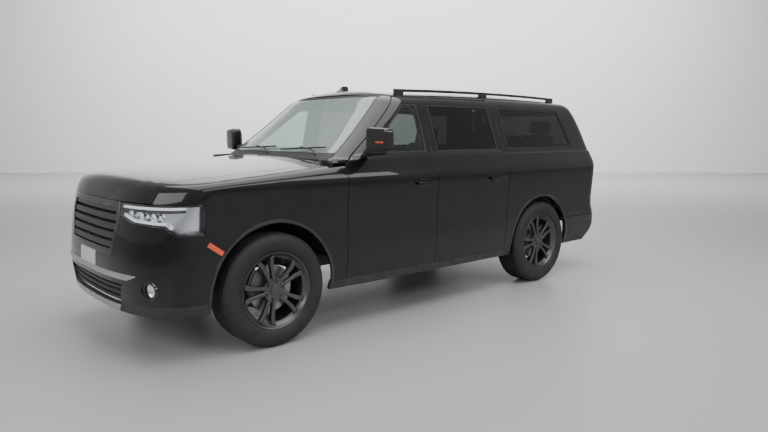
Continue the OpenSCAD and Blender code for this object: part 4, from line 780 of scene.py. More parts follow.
for s, side in ((1, "left"), (-1, "right")):
    # screen pillar, cant rail and the door frame behind the doors
    panel(side + "_pillar_skin", "chassis", "body_paint", PAINT, body_shape,
          lean_place(body_shape, -1.15, 1.75, 1.2, 1.7, 0.75, 0.25, 0.6), (130, 60),
          [([(fa(500), BELT - 0.014), (Y_DOOR_REAR - 0.062, BELT - 0.014), (Y_DOOR_REAR - 0.062, 1.95),
             (fa(500), 1.95)], "x", True),
           (grown(FRONT_DOOR, GAP), "x", False), (grown(REAR_DOOR, GAP), "x", False),
           (flat_box(Y_PILLAR - 0.05, Y_PILLAR + 0.05, 0.3, Z_TOP + GAP), "x", False),
           (WINDSCREEN, "y", False),
           ([(0.594, -3), (1.3, -3), (1.3, 3), (0.594, 3)], "z", True),
           (flat_box(-0.8, 0.8, BELT - 0.08, BELT + 0.042), "y", False)],
          thick=0.03, mirror=s < 0)
    panel(side + "_door_frame", "chassis", "body_paint", UNDER_PAINT, body_shape,
          side_skin(Y_DOOR_FRONT, Y_DOOR_REAR + 0.08, 0.32, 1.7, 0.5), (80, 70),
          [([(Y_DOOR_FRONT + GAP, 0.33), (Y_DOOR_FRONT + GAP, BELT - 0.02), (pillar_y(BELT) - 0.008, BELT + 0.02),
             (pillar_y(1.5), 1.5), (pillar_y(Z_TOP), Z_TOP + GAP), (Y_DOOR_REAR + 0.06, Z_TOP + GAP),
             (Y_DOOR_REAR + 0.06, 0.33)], "x", True),
           (grown(FRONT_BOX, 0.006), "x", False), (grown(REAR_BOX, 0.006), "x", False),
           (REAR_ARCH_LINE, "x", False)],
          depth=lambda co: 0.03 + hinge_recess(co),
          thick=lambda co: np.where(co[:, 2] > BELT, 0.045, 0.075) - hinge_recess(co), mirror=s < 0,
          stands_for=side + "_body_side", lip=0.004)
    panel(side + "_sill_cladding", "chassis", "dark_plastic", MATT_BLACK, body_shape,
          side_skin(fa(460), ra(-440), 0.325, 0.42, 0.0), (70, 8),
          [(flat_box(fa(470), ra(-450), 0.33, 0.392), "x", True), (grown(REAR_ARCH_LINE, 0.001), "x", False),
           (grown(FRONT_ARCH_LINE, 0.001), "x", False)], thick=0.03, mirror=s < 0, lip=0.004)
    for name, at, radius in (("front", FRONT_AXLE, FRONT_ARCH), ("rear", REAR_AXLE, REAR_ARCH)):
        lip_place = wrap_place(nose_shape if name == "front" else body_shape,
                               at - 0.6 - Y_NOSE_ARC, at + 0.6 - Y_NOSE_ARC, 0.33, 0.98, 0, 0.25, 0.7)
        panel(f"{side}_{name}_arch_lip", "chassis", "dark_plastic", GLOSS_BLACK,
              nose_shape if name == "front" else body_shape, lip_place, (110, 60),
              [(circle_outline(at, HUB_Z, radius + 0.016), "x", True),
               (circle_outline(at, HUB_Z, radius - 0.002), "x", False),
               (flat_box(at - 0.6, at + 0.6, 0.36, 1.1), "x", True)] +
              ([(flat_box(Y_DOOR_REAR - 0.4, Y_DOOR_REAR + 0.006, 0.3, 1.1), "x", False)] if name == "rear" else
               [(flat_box(Y_DOOR_FRONT - GAP, Y_DOOR_FRONT + 0.4, 0.3, 1.1), "x", False)]),
              thick=0.012, depth=-0.0025, mirror=s < 0, lip=0.002)
    # side windows behind the doors, and their seals
    panel(side + "_quarter_seal", "chassis", "dark_plastic", SEAL, body_shape, side_skin(0.9, 2.15), (70, 60),
          [(grown(QUARTER_WINDOW, -0.001), "x", True), (grown(QUARTER_WINDOW, -0.014), "x", False)],
          thick=0.02, depth=0.003, mirror=s < 0, lip=0.0015)
    # belt moulding over the doors
    for end, y0, y1 in (("front", Y_DOOR_FRONT + 0.012, Y_PILLAR - GAP), ("rear", Y_PILLAR + GAP, Y_DOOR_REAR - GAP)):
        panel(f"{side}_{end}_belt_strip", f"{side}_{end}_door_leaf", "dark_plastic", GLOSS_BLACK, body_shape,
              side_skin(y0 - 0.03, y1 + 0.03, 1.28, 1.40, 0.0), (60, 10),
              [([(max(y0, pillar_y(BELT + 0.026) + 0.012), BELT + 0.026),
                 (max(y0, pillar_y(BELT + 0.046) + 0.012), BELT + 0.046), (y1, BELT + 0.046), (y1, BELT + 0.026)],
                "x", True)],
              thick=0.008, depth=-0.003, mirror=s < 0, lip=0.002)

panel("quarter_panes", "chassis", "privacy_glass", PRIVACY_GLASS, body_shape, side_skin(0.9, 2.15), (40, 40),
      [(grown(QUARTER_WINDOW, -0.012), "x", True)], thick=0.005, depth=0.007, both=True, lip=0.0008,
      stands_for="quarter_windows")

# roof, from its front edge over the screen back to the liftgate
panel("roof_skin", "chassis", "body_paint", PAINT, cabin_shape,
      long_place(cabin_shape, -0.61, 0.61, Y_GATE - GAP, fa(1500), 1.6, 0.95, 0.35, -1), (64, 120),
      [(flat_box(-0.59, 0.59, -1.0, Y_GATE - GAP), "z", True), (WINDSCREEN, "y", False)],
      thick=0.012, stands_for="roof_panel")
panel("roof_lining", "chassis", "seat_leather", LINING, cabin_shape,
      long_place(cabin_shape, -0.57, 0.57, Y_GATE - 0.03, fa(1500), 1.6, 0.6, 0.35, -1), (30, 50),
      [(flat_box(-0.56, 0.56, fa(1250), Y_GATE - 0.035), "z", True)], thick=0.008, depth=0.03, lip=0.004)

# windscreen with its dark border, and the panel below it
screen_place = lean_place(cabin_shape, -ARC * math.pi * 0.97, -ARC * math.pi * 0.03, 1.2, 1.83)
panel("windscreen_pane", "chassis", "clear_glass", SCREEN_GLASS, cabin_shape, screen_place, (90, 44),
      [(grown(WINDSCREEN, -0.004), "y", True)], thick=0.006, depth=0.006, lip=0.001, stands_for="windscreen")
panel("windscreen_border", "chassis", "dark_plastic", SEAL, cabin_shape, screen_place, (110, 54),
      [(grown(WINDSCREEN, -0.003), "y", True), (grown(WINDSCREEN, -0.045), "y", False)], thick=0.002, depth=0.0125,
      lip=0.0005)
panel("screen_edge_trim", "chassis", "dark_plastic", SEAL, cabin_shape, screen_place, (110, 54),
      [(grown(WINDSCREEN, -0.0005), "y", True), (grown(WINDSCREEN, -0.012), "y", False)], thick=0.016, depth=0.002,
      lip=0.001)
panel("cowl_cover", "chassis", "dark_plastic", MATT_BLACK, cabin_shape, screen_place, (90, 44),
      [(flat_box(-0.79, 0.79, BELT - 0.02, BELT + 0.04), "y", True)], thick=0.004, depth=-0.001, lip=0.002)

# liftgate
gate = gate_place(body_shape, 1.12, 0.6, 1.62, 1.98)
panel("liftgate_skin", "liftgate_lid", "body_paint", PAINT, body_shape, gate, (110, 120),
      [(GATE, "y", True), (GATE_WINDOW, "y", False), (flat_box(-1, 1, Y_GATE, 3), "z", True)], thick=0.035,
      stands_for="liftgate")
panel("liftgate_lining", "liftgate_lid", "dark_plastic", SOFT_TRIM, body_shape, gate, (60, 80),
      [(grown(GATE, -0.05), "y", True), (GATE_WINDOW, "y", False), (flat_box(-1, 1, Y_GATE + 0.05, 3), "z", True)],
      thick=lambda co: np.where(co[:, 2] > BELT, 0.012, 0.045), depth=0.037, lip=0.006)
panel("liftgate_window_seal", "liftgate_lid", "dark_plastic", SEAL, body_shape, gate, (100, 110),
      [(grown(GATE_WINDOW, -0.001), "y", True), (grown(GATE_WINDOW, -0.016), "y", False)], thick=0.016, depth=0.003,
      lip=0.0015)
panel("liftgate_pane", "liftgate_lid", "privacy_glass", PRIVACY_GLASS, body_shape, gate, (60, 70),
      [(grown(GATE_WINDOW, -0.014), "y", True)], thick=0.005, depth=0.007, lip=0.001, stands_for="liftgate_glass")
panel("liftgate_garnish", "liftgate_lid", "dark_plastic", GLOSS_BLACK, body_shape, gate, (90, 90),
      [([(-0.5, 1.0), (0.5, 1.0), (0.56, 1.05), (-0.56, 1.05)], "y", True)], thick=0.012, depth=-0.006, lip=0.004)
panel("rear_blank_plate", "liftgate_lid", "dark_plastic", PLATE, body_shape, gate, (90, 100),
      [(flat_box(-0.155, 0.155, 0.83, 0.985), "y", True)], thick=0.004, depth=-0.002, lip=0.002)

# tail lamps
tail = wrap_place(body_shape, SIDE - 0.25, SIDE + 0.85, 0.77, 1.3, 0, 0.25, 0.7)
LAMP_REACH = (flat_box(0.5, 1.3, Y_GATE + 0.18, 3.0), "z", True)
for name, finish, slot_name, inset, depth, thick, zs in (
        ("tail_lamp_lenses", RED_LENS, "red_lens", 0.003, 0.003, 0.006, (0.93, 1.29)),
        ("reversing_lenses", LENS, "lamp_glass", 0.003, 0.003, 0.006, (0.79, 0.925)),
        ("tail_lamp_reflectors", RED_INNER, "red_lens", 0.006, 0.026, 0.02, (0.93, 1.29)),
        ("reversing_reflectors", REFLECTOR, "lamp_glass", 0.006, 0.026, 0.02, (0.79, 0.925))):
    panel(name, "chassis", slot_name, finish, body_shape, tail, (80, 50),
          [(grown(TAIL_LAMP, -inset), "y", True), LAMP_REACH, (flat_box(0.5, 1.3, *zs), "y", True)], thick=thick,
          depth=depth, both=True, lip=0.002, stands_for="tail_lamps" if name == "tail_lamp_lenses" else ())
panel("tail_light_guides", "chassis", "red_lens", material("red_light_guide", (0.8, 0.02, 0.02), 0.3, 0.0, 400.0, 0.02,
      Emission_Color=(1.0, 0.03, 0.02), Emission_Strength=0.25), body_shape, tail, (80, 60),
      [([(0.876, 0.95), (0.89, 0.95), (0.87, 1.25), (0.856, 1.25)], "y", True), LAMP_REACH], thick=0.008, depth=0.014,
      both=True, lip=0.002)

# front bumper cover, its lower parts and its openings
nose = wrap_place(lower_body, *FULL_NOSE, 0.29, 1.06)
BUMPER = [(NOSE - 0.1, 0.316), (Y_BUMPER_END - SEAM, 0.316), (Y_BUMPER_END - SEAM, 0.69),
          (Y_LAMP_END - SEAM, 0.85), (Y_LAMP_END - SEAM, 1.048), (NOSE - 0.1, 1.048)]
fogs = [circle_outline(x, 0.5, 0.06, 32) for x in (-0.8, 0.8)]
bumper_cuts = [(BUMPER, "x", True), (HEADLAMP, "y", False), (flip(HEADLAMP), "y", False), (GRILLE, "y", False),
               (INTAKE, "y", False), (FRONT_ARCH_LINE, "x", False)] + [(f, "y", False) for f in fogs]
panel("bumper_cover", "chassis", "body_paint", PAINT, lower_body, nose, (260, 76),
      bumper_cuts + [(flat_box(-1.3, 1.3, 0.394, 1.2), "y", True)], thick=0.02, stands_for="front_bumper")
panel("bumper_apron", "chassis", "dark_plastic", MATT_BLACK, lower_body,
      wrap_place(lower_body, *FULL_NOSE, 0.29, 0.41), (240, 14),
      [(BUMPER, "x", True), (INTAKE, "y", False), (FRONT_ARCH_LINE, "x", False),
       (flat_box(-1.3, 1.3, 0.3, 0.39), "y", True)], thick=0.03)
front_band = wrap_place(lower_body, -0.3, -ARC * math.pi + 0.3, 0.3, 1.06)
for name, finish, outline, depth, thick, lip in (
        ("bumper_bright_bar", SILVER, [(-0.62, 0.555), (0.62, 0.555), (0.7, 0.585), (-0.7, 0.585)],
         -0.008, 0.02, 0.005),
        ("skid_plate", SILVER, [(-0.46, 0.325), (0.46, 0.325), (0.5, 0.366), (-0.5, 0.366)], -0.007, 0.02, 0.005),
        ("front_blank_plate", PLATE, flat_box(-0.155, 0.155, 0.59, 0.69), -0.006, 0.006, 0.002)):
    panel(name, "chassis", "dark_plastic", finish, lower_body, front_band, (170, 90), [(outline, "y", True)],
          thick=thick, depth=depth, lip=lip)

# grille: frame, bars and the dark mesh behind
panel("grille_frame", "chassis", "dark_plastic", GLOSS_BLACK, lower_body, front_band, (170, 90),
      [(grown(GRILLE, -0.002), "y", True), (grown(GRILLE, -0.03), "y", False)], thick=0.05, depth=-0.004, lip=0.006,
      stands_for="grille")
for n, z in enumerate((0.748, 0.808, 0.868, 0.928, 0.988)):
    panel(f"grille_bar_{n}", "chassis", "dark_plastic", SATIN_DARK, lower_body,
          wrap_place(lower_body, -0.5, -ARC * math.pi + 0.5, z - 0.02, z + 0.05), (110, 10),
          [(flat_box(-0.52, 0.52, z, z + 0.03), "y", True), (grown(GRILLE, -0.02), "y", True)], thick=0.03,
          depth=0.004, lip=0.006)
MESH_WALL = material("dark_grille_backing", (0.004, 0.004, 0.004), 0.7, 0.0, 160.0, 1.0, 1.0)
for name, outline in (("grille_backing", GRILLE), ("intake_backing", INTAKE)):
    panel(name, "chassis", "dark_plastic", MESH_WALL, lower_body, front_band, (80, 40), [(outline, "y", True)],
          thick=0.01, depth=0.055, lip=0.002)
for n, z in enumerate((0.395, 0.435, 0.475)):
    panel(f"intake_bar_{n}", "chassis", "dark_plastic", MATT_BLACK, lower_body,
          wrap_place(lower_body, -0.4, -ARC * math.pi + 0.4, z - 0.02, z + 0.04), (100, 8),
          [(flat_box(-0.6, 0.6, z, z + 0.014), "y", True), (grown(INTAKE, 0.002), "y", True)], thick=0.02, depth=0.02,
          lip=0.004)

# headlamps: bezel, bowl wall, light guide and lens
lamp_place = wrap_place(lower_body, 0.05, -ARC * 1.35, 0.83, 1.06)
for name, finish, slot_name, cuts, depth, thick, lip in (
        ("headlamp_lenses", LENS, "lamp_glass", [(grown(HEADLAMP, -0.003), "y", True)], 0.002, 0.005, 0.0015),
        ("headlamp_bezels", GLOSS_BLACK, "dark_plastic", [(grown(HEADLAMP, -0.003), "y", True),
                                                        (grown(HEADLAMP, -0.013), "y", False)], 0.010, 0.06, 0.002),
        ("headlamp_bowls", REFLECTOR, "lamp_glass", [(grown(HEADLAMP, -0.01), "y", True)], 0.06, 0.01, 0.002),
        ("daylight_guides", LIGHT_GUIDE, "lamp_glass", [([(0.50, 1.020), (0.96, 1.020), (0.96, 1.034), (0.50, 1.034)],
                                                         "y", True)], 0.018, 0.014, 0.003),
        ("lower_light_guides", LIGHT_GUIDE, "lamp_glass", [([(0.52, 0.966), (0.64, 0.934), (0.88, 0.921),
                                                             (0.88, 0.932), (0.645, 0.946), (0.52, 0.978)],
                                                            "y", True)], 0.02, 0.012, 0.003),
        ("headlamp_brows", SATIN_DARK, "dark_plastic", [([(0.5, 1.0), (0.96, 1.0), (0.96, 1.013), (0.5, 1.013)], "y",
                                                         True)], 0.022, 0.03, 0.003)):
    panel(name, "chassis", slot_name, finish, lower_body, lamp_place, (100, 30),
          cuts + [(flat_box(0.3, 1.3, NOSE - 0.1, Y_LAMP_END - 0.006), "z", True)], thick=thick, depth=depth, lip=lip,
          both=True, stands_for="headlamps" if name == "headlamp_lenses" else ())
panel("side_marker_lamps", "chassis", "red_lens", AMBER, lower_body,
      wrap_place(lower_body, 0.3, -0.2, 0.68, 0.84), (60, 30),
      [([(-2.137, 0.797), (-2.042, 0.728), (-2.059, 0.705), (-2.154, 0.774)], "x", True)], thick=0.008, depth=-0.003,
      both=True, lip=0.0025)

# rear bumper skin over its step and beam
tail_low = wrap_place(lower_body, *FULL_TAIL, 0.32, 0.63)
REAR_ARCH_CUT = (REAR_ARCH_LINE, "x", False)
WAY_IN = (flat_box(-0.05, 0.05, 0.3, 0.49), "y", False)
# the lower edge sweeps up behind the wheels, clear of the hitch pin
SWEEP = ([(2.27, 0), (2.27, 0.329), (2.43, 0.492), (2.66, 0.492), (2.66, 0)], "x", False)
panel("rear_bumper_skin", "chassis", "body_paint", PAINT, lower_body, tail_low, (220, 34),
      [(flat_box(-1.3, 1.3, ra(384), 3), "z", True), (flat_box(-1.3, 1.3, 0.533, Z_GATE - GAP), "y", True),
       REAR_ARCH_CUT, WAY_IN, SWEEP], thick=0.004, depth=-0.0015, lip=0.0015)
panel("rear_bumper_apron", "chassis", "dark_plastic", MATT_BLACK, lower_body, tail_low, (220, 34),
      [(flat_box(-1.3, 1.3, ra(384), 3), "z", True), (flat_box(-1.3, 1.3, 0.332, 0.528), "y", True),
       REAR_ARCH_CUT, WAY_IN, SWEEP], thick=0.004, depth=-0.001, lip=0.002)
panel("rear_reflectors", "chassis", "red_lens", RED_INNER, lower_body,
      wrap_place(lower_body, SIDE + 0.2, SIDE + 1.1, 0.48, 0.6), (60, 20),
      [(flat_box(0.66, 0.84, 0.552, 0.575), "y", True)], thick=0.008, depth=-0.005, both=True, lip=0.002)


# ---------------------------------------------------------------- shared builders for small parts
def soft_cube(cuts):
    """A unit cube cut into a grid, to be shaped point by point."""
    bm = bmesh.new()
    bmesh.ops.create_cube(bm, size=1)
    bmesh.ops.subdivide_edges(bm, edges=bm.edges, cuts=cuts, use_grid_fill=True)
    return bm


def pulled(bm, corners, shift):
    """A flat face through the corners, drawn out into a solid."""
    face = bm.faces.new([bm.verts.new(p) for p in corners])
    out = bmesh.ops.extrude_face_region(bm, geom=[face])["geom"]
    bmesh.ops.translate(bm, vec=shift, verts=[g for g in out if isinstance(g, bmesh.types.BMVert)])


def block(bm, lo, hi, bevel=0.004, segments=2):
    """A bevelled block between two corners; returns its vertices."""
    made = bmesh.ops.create_cube(bm, size=1)["verts"]
    lo, hi = Vector(lo), Vector(hi)
    bmesh.ops.scale(bm, vec=hi - lo, verts=made)
    bmesh.ops.translate(bm, vec=(lo + hi) / 2, verts=made)
    if bevel:
        edges = list({e for v in made for e in v.link_edges})
        made = bmesh.ops.bevel(bm, geom=edges, offset=bevel, offset_type="OFFSET", segments=segments, profile=0.5,
                               affect="EDGES", material=-1)["verts"]
        made = list({v for f in bm.faces for v in f.verts if v in set(made)})
    return made


def lathe(bm, profile, centre, axis, steps=64, close=True):
    """A ring or disc spun from a profile of (radius, height) points about an axis through centre."""
    axis = Vector(axis).normalized()
    side = axis.orthogonal().normalized()
    ring = [bm.verts.new(Vector(centre) + side * r + axis * h) for r, h in profile]
    edges = [bm.edges.new(p) for p in zip(ring, ring[1:])]
    if close:
        edges.append(bm.edges.new((ring[-1], ring[0])))
    before = set(bm.faces)
    bmesh.ops.spin(bm, geom=ring + edges, cent=centre, axis=axis, angle=math.tau, steps=steps, use_merge=True)
    made = [f for f in bm.faces if f not in before]
    bmesh.ops.remove_doubles(bm, verts=list({v for f in made for v in f.verts}), dist=1e-6)
    return [f for f in bm.faces if f not in before]


def settle(bm):
    bmesh.ops.remove_doubles(bm, verts=bm.verts, dist=1e-6)
    bmesh.ops.recalc_face_normals(bm, faces=bm.faces)


def rounded(obj, levels=2):
    mod = obj.modifiers.new("rounding", "SUBSURF")
    mod.levels = mod.render_levels = levels


def crisp(mesh, angle=35):
    mesh.shade_smooth()
    mesh.set_sharp_from_angle(angle=math.radians(angle))


def part(name, bm, body, finish, stands_for=(), angle=35):
    settle(bm)
    obj = finish_mesh(name, bm, body, finish, stands_for)
    crisp(obj.data, angle)
    return obj


def rod(name, points, radius, body, finish):
    """A round bar along a smooth curve, made a mesh."""
    data = bpy.data.curves.new(name, "CURVE")
    data.dimensions, data.bevel_depth, data.bevel_resolution, data.resolution_u = "3D", radius, 3, 8
    data.use_fill_caps = True
    spline = data.splines.new("BEZIER")
    spline.bezier_points.add(len(points) - 1)
    for p, co in zip(spline.bezier_points, points):
        p.co, p.handle_left_type, p.handle_right_type = co, "AUTO", "AUTO"
    tmp = bpy.data.objects.new(name, data)
    bpy.context.scene.collection.objects.link(tmp)
    mesh = bpy.data.meshes.new_from_object(tmp)
    bpy.data.objects.remove(tmp)
    mesh.shade_smooth()
    return add_piece(name, mesh, body, finish)


# ---------------------------------------------------------------- wheels
def tyre_mesh(centre, s):
    bm = bmesh.new()
    w, r0 = TYRE_W / 2, RIM_R
    half = [(r0, w - 0.03), (r0 + 0.006, w - 0.014), (r0 + 0.02, w - 0.006), (r0 + 0.045, w - 0.001),
            (r0 + 0.07, w), (TYRE_R - 0.052, w - 0.002), (TYRE_R - 0.034, w - 0.008), (TYRE_R - 0.018, w - 0.018),
            (TYRE_R - 0.0085, w - 0.034), (TYRE_R - 0.0055, w - 0.05)]
    groove = []
    for g in (0.062, 0.022):
        groove += [(TYRE_R - 0.005, g + 0.008), (TYRE_R - 0.012, g + 0.005), (TYRE_R - 0.012, g - 0.005),
                   (TYRE_R - 0.005, g - 0.008)]
    right = half + groove
    profile = right + [(r, -x) for r, x in reversed(right)]
    lathe(bm, profile, centre, (s, 0, 0), 84)
    settle(bm)
    tread = []
    for f in bm.faces:
        c = f.calc_center_median() - Vector(centre)
        radial = math.hypot(c.y, c.z)
        if radial > TYRE_R - 0.0105 and abs(c.x) < w - 0.03 and f.normal.dot(Vector((0, c.y, c.z)).normalized()) > 0.8:
            tread.append(f)
    bmesh.ops.inset_individual(bm, faces=tread, thickness=0.0022, depth=0.0044)
    return bm


SPOKES, SPOKE_DEPTH, WHEEL_BOLTS = 5, 0.034, 6


def rim_mesh(centre, s):
    bm = bmesh.new()
    w, r0, c = TYRE_W / 2, RIM_R, Vector(centre)
    lathe(bm, [(r0 - 0.034, -w + 0.03), (r0 + 0.004, -w + 0.024), (r0 + 0.002, -w + 0.034), (r0 - 0.03, -w + 0.05),
               (r0 - 0.03, w - 0.05), (r0 + 0.002, w - 0.03), (r0 + 0.006, w - 0.02), (r0 + 0.001, w - 0.014),
               (r0 - 0.008, w - 0.018), (r0 - 0.02, w - 0.04), (r0 - 0.038, w - 0.052), (r0 - 0.039, -w + 0.045)],
          centre, (s, 0, 0), 84)
    for i in range(SPOKES):
        a = math.tau * i / SPOKES + math.pi / 2
        for t in (-1, 1):
            before = set(bm.verts)
            outline = [(0.028, 0.002 * t), (0.03, 0.03 * t), (0.12, 0.037 * t), (0.19, 0.052 * t),
                       (r0 - 0.031, 0.075 * t), (r0 - 0.031, 0.036 * t), (0.19, 0.019 * t), (0.12, 0.011 * t),
                       (0.075, 0.005 * t)]
            pulled(bm, [(0, across, r) for r, across in outline], (SPOKE_DEPTH, 0, 0))
            made = [v for v in bm.verts if v not in before]
            top = [e for e in bm.edges if all(v in set(made) and v.co.x > 0.03 for v in e.verts)]
            bmesh.ops.bevel(bm, geom=top, offset=0.006, offset_type="OFFSET", segments=3, profile=0.5,
                            affect="EDGES", material=-1)
            made = [v for v in bm.verts if v not in before]
            for v in made:
                r = v.co.z
                v.co.x = 0.062 + v.co.x * (1 if r < 0.2 else 0.85) + 0.018 * (r / r0) ** 2
            turn = Matrix.Rotation(a, 4, "X")
            for v in made:
                v.co = turn @ v.co
                v.co.x *= s
                v.co += c
    lathe(bm, [(0.0, 0.064), (0.088, 0.064), (0.09, 0.08), (0.086, 0.09), (0.05, 0.097), (0.0, 0.098)], centre,
          (s, 0, 0), 60, close=False)
    lathe(bm, [(0.0, 0.096), (0.036, 0.096), (0.036, 0.103), (0.032, 0.106), (0.0, 0.107)], centre, (s, 0, 0), 40,
          close=False)
    for i in range(WHEEL_BOLTS):
        a = math.tau * i / WHEEL_BOLTS + 0.3
        at = c + Vector((0, math.cos(a) * 0.066, math.sin(a) * 0.066))
        lathe(bm, [(0.0, 0.09), (0.011, 0.09), (0.011, 0.104), (0.008, 0.108), (0.0, 0.109)], at, (s, 0, 0), 6,
              close=False)
    return bm


for s, side in ((1, "left"), (-1, "right")):
    for end, y in (("front", FRONT_AXLE), ("rear", REAR_AXLE)):
        centre = (s * WHEEL_X, y, HUB_Z)
        body, tag = f"{side}_{end}_road_wheel", f"{side}_{end}"
        part(tag + "_tyre_cover", tyre_mesh(centre, s), body, TYRE, tag + "_tyre", angle=40)
        part(tag + "_rim", rim_mesh(centre, s), body, SATIN_DARK, tag + "_wheel", angle=32)
        bm = bmesh.new()
        lathe(bm, [(0.075, 0.02), (0.168, 0.02), (0.171, 0.023), (0.171, 0.026), (0.168, 0.029), (0.076, 0.029)],
              centre, (s, 0, 0), 72)
        lathe(bm, [(0.075, 0.014), (0.168, 0.014), (0.171, 0.0115), (0.171, 0.0085), (0.168, 0.005), (0.076, 0.005)],
              centre, (s, 0, 0), 72)
        lathe(bm, [(0.036, 0.006), (0.08, 0.006), (0.084, 0.03), (0.078, 0.056), (0.036, 0.056)], centre, (s, 0, 0), 48)
        part(tag + "_brake_disc", bm, body, MACHINED)
        bm = bmesh.new()
        for x0, x1, r0, r1 in ((-0.03, 0.002, 0.105, 0.205), (0.0345, 0.052, 0.11, 0.2), (-0.03, 0.052, 0.18, 0.205)):
            verts = block(bm, (x0, -0.075, r0), (x1, 0.075, r1), 0.006)
            lean = Matrix.Rotation(math.radians(62 if end == "front" else -62), 4, "X")
            for v in verts:
                v.co.z -= 1.5 * v.co.y ** 2
                v.co = lean @ v.co
                v.co = Vector((v.co.x * s, v.co.y, v.co.z)) + Vector(centre)
        part(tag + "_caliper", bm, f"{side}_steered_hub" if end == "front" else "chassis", CALIPER)


# ---------------------------------------------------------------- lamps' round parts
def on_surface(shape, x, z, y0):
    """The point of the nose or tail at x and z."""
    o = np.array([[x, y0, z]])
    d = np.array([[0, -1.0 if y0 < 0 else 1.0, 0]])
    p = hits(shape, o, d)
    return Vector(p[0]), Vector(normals_of(shape, p)[0])


bowls, glow, fog_ring, fog_glass = (bmesh.new() for _ in range(4))
for s in (1, -1):
    for x, z, r in ((0.6, 0.983, 0.03), (0.705, 0.972, 0.032), (0.81, 0.966, 0.032)):
        p, n = on_surface(lower_body, s * x, z, -2.1)
        aim = (Vector((0, -1, 0)) * 0.75 + n * 0.25).normalized()
        at = p - n * 0.052
        lathe(bowls, [(r, 0.03), (r * 0.95, 0.031), (r * 0.55, 0.004), (r * 0.52, -0.004), (r, 0.02)], at, aim, 32)
        lathe(glow, [(0.0, 0.024), (r * 0.3, 0.021), (r * 0.5, 0.010), (r * 0.52, 0.002), (0.0, 0.002)], at, aim, 32,
              close=False)
    p, n = on_surface(lower_body, s * 0.8, 0.5, -2.1)
    aim = (Vector((0, -1, 0)) * 0.5 + n * 0.5).normalized()
    lathe(fog_ring, [(0.066, -0.03), (0.066, -0.002), (0.062, 0.004), (0.052, 0.0), (0.046, -0.02), (0.045, -0.03)],
          p - n * 0.004, aim, 40)
    lathe(fog_glass, [(0.0, -0.006), (0.02, -0.007), (0.048, -0.012), (0.048, -0.018), (0.0, -0.012)], p - n * 0.004,
          aim, 40, close=False)
    lathe(bowls, [(0.046, -0.022), (0.03, -0.034), (0.0, -0.04), (0.0, -0.044), (0.046, -0.044)], p - n * 0.004,
          aim, 40, close=False)
part("lamp_bowls", bowls, "chassis", REFLECTOR)
part("lamp_projectors", glow, "chassis", LIGHT_GUIDE)
part("fog_lamp_rings", fog_ring, "chassis", GLOSS_BLACK)
part("fog_lamp_lenses", fog_glass, "chassis", LENS, "fog_lamps")

# ---------------------------------------------------------------- mirrors and handles
for s, side in ((1, "left"), (-1, "right")):
    y = fa(850)
    leaf = side + "_front_door_leaf"

    def put(bm):
        for v in bm.verts:
            v.co.x *= s
        return bm

    bm = soft_cube(3)
    for v in bm.verts:
        q = v.co * 2
        lean = 0.5 + q.x * 0.5
        v.co = Vector((HALF_WIDTH + 0.122 + q.x * 0.104, y - 0.036 + q.y * (0.052 - 0.014 * lean) + q.x * 0.012,
                       BELT + 0.142 + q.z * (0.108 - 0.012 * lean)))
    obj = part(side + "_mirror_housing", put(bm), leaf, GLOSS_BLACK, side + "_mirror")
    rounded(obj, 2)
    bm = soft_cube(2)
    for v in bm.verts:
        q = v.co * 2
        v.co = Vector((HALF_WIDTH + 0.005 + q.x * 0.078, y - 0.012 + q.y * 0.036 - (q.x + 1) * 0.01,
                       BELT + 0.044 + q.z * 0.026 + (q.x + 1) * 0.014))
    rounded(part(side + "_mirror_foot", put(bm), leaf, MATT_BLACK), 2)
    bm = bmesh.new()
    block(bm, (HALF_WIDTH + 0.038, y + 0.012, BELT + 0.064), (HALF_WIDTH + 0.208, y + 0.018, BELT + 0.222), 0.0028)
    silvered = material(side + "_silvered_glass", (0.8, 0.82, 0.84), 0.02, 1.0, 200.0, 0.002, rough_spread=0.01)
    part(side + "_mirror_glass", put(bm), leaf, silvered)
    bm = bmesh.new()
    block(bm, (HALF_WIDTH + 0.05, y - 0.082, BELT + 0.13), (HALF_WIDTH + 0.2, y - 0.072, BELT + 0.142), 0.003)
    part(side + "_mirror_indicator", put(bm), leaf, AMBER)
    for end, yh in (("front", Y_PILLAR - 0.15), ("rear", Y_DOOR_REAR - 0.17)):
        z = 1.085
        p = hits(body_shape, np.array([[0.3, yh, z]]), np.array([[1.0, 0, 0]]))[0]
        bm = bmesh.new()
        block(bm, (p[0] + 0.016, yh - 0.105, z - 0.014), (p[0] + 0.03, yh + 0.105, z + 0.014), 0.006, 3)
        for dy in (-0.09, 0.075):
            block(bm, (p[0] - 0.006, yh + dy, z - 0.011), (p[0] + 0.02, yh + dy + 0.02, z + 0.011), 0.004)
        part(f"{side}_{end}_door_handle", put(bm), f"{side}_{end}_door_leaf", PAINT)
        bm = bmesh.new()
        lathe(bm, [(0.036, -0.004), (0.039, 0.0015), (0.035, 0.002), (0.024, -0.0015), (0.0, -0.003), (0.0, -0.006)],
              (p[0], yh - 0.01, z), (1, 0, 0), 36, close=False)
        for v in bm.verts:
            v.co.y = yh + (v.co.y - yh) * 1.9
        part(f"{side}_{end}_handle_cup", put(bm), f"{side}_{end}_door_leaf", GLOSS_BLACK)

# ---------------------------------------------------------------- aerial, wipers and high brake lamp
bm = soft_cube(3)
ya, za = fa(1330), float(roof_height(0, fa(1330)))
for v in bm.verts:
    q = v.co * 2
    h = (q.z + 1) / 2
    v.co = Vector((q.x * (0.028 - 0.022 * h), ya + q.y * (0.072 - 0.04 * h) + 0.03 * h,
                   za - 0.006 + 0.05 * h * h + 0.002 * h))
rounded(part("roof_aerial", bm, "chassis", GLOSS_BLACK), 2)


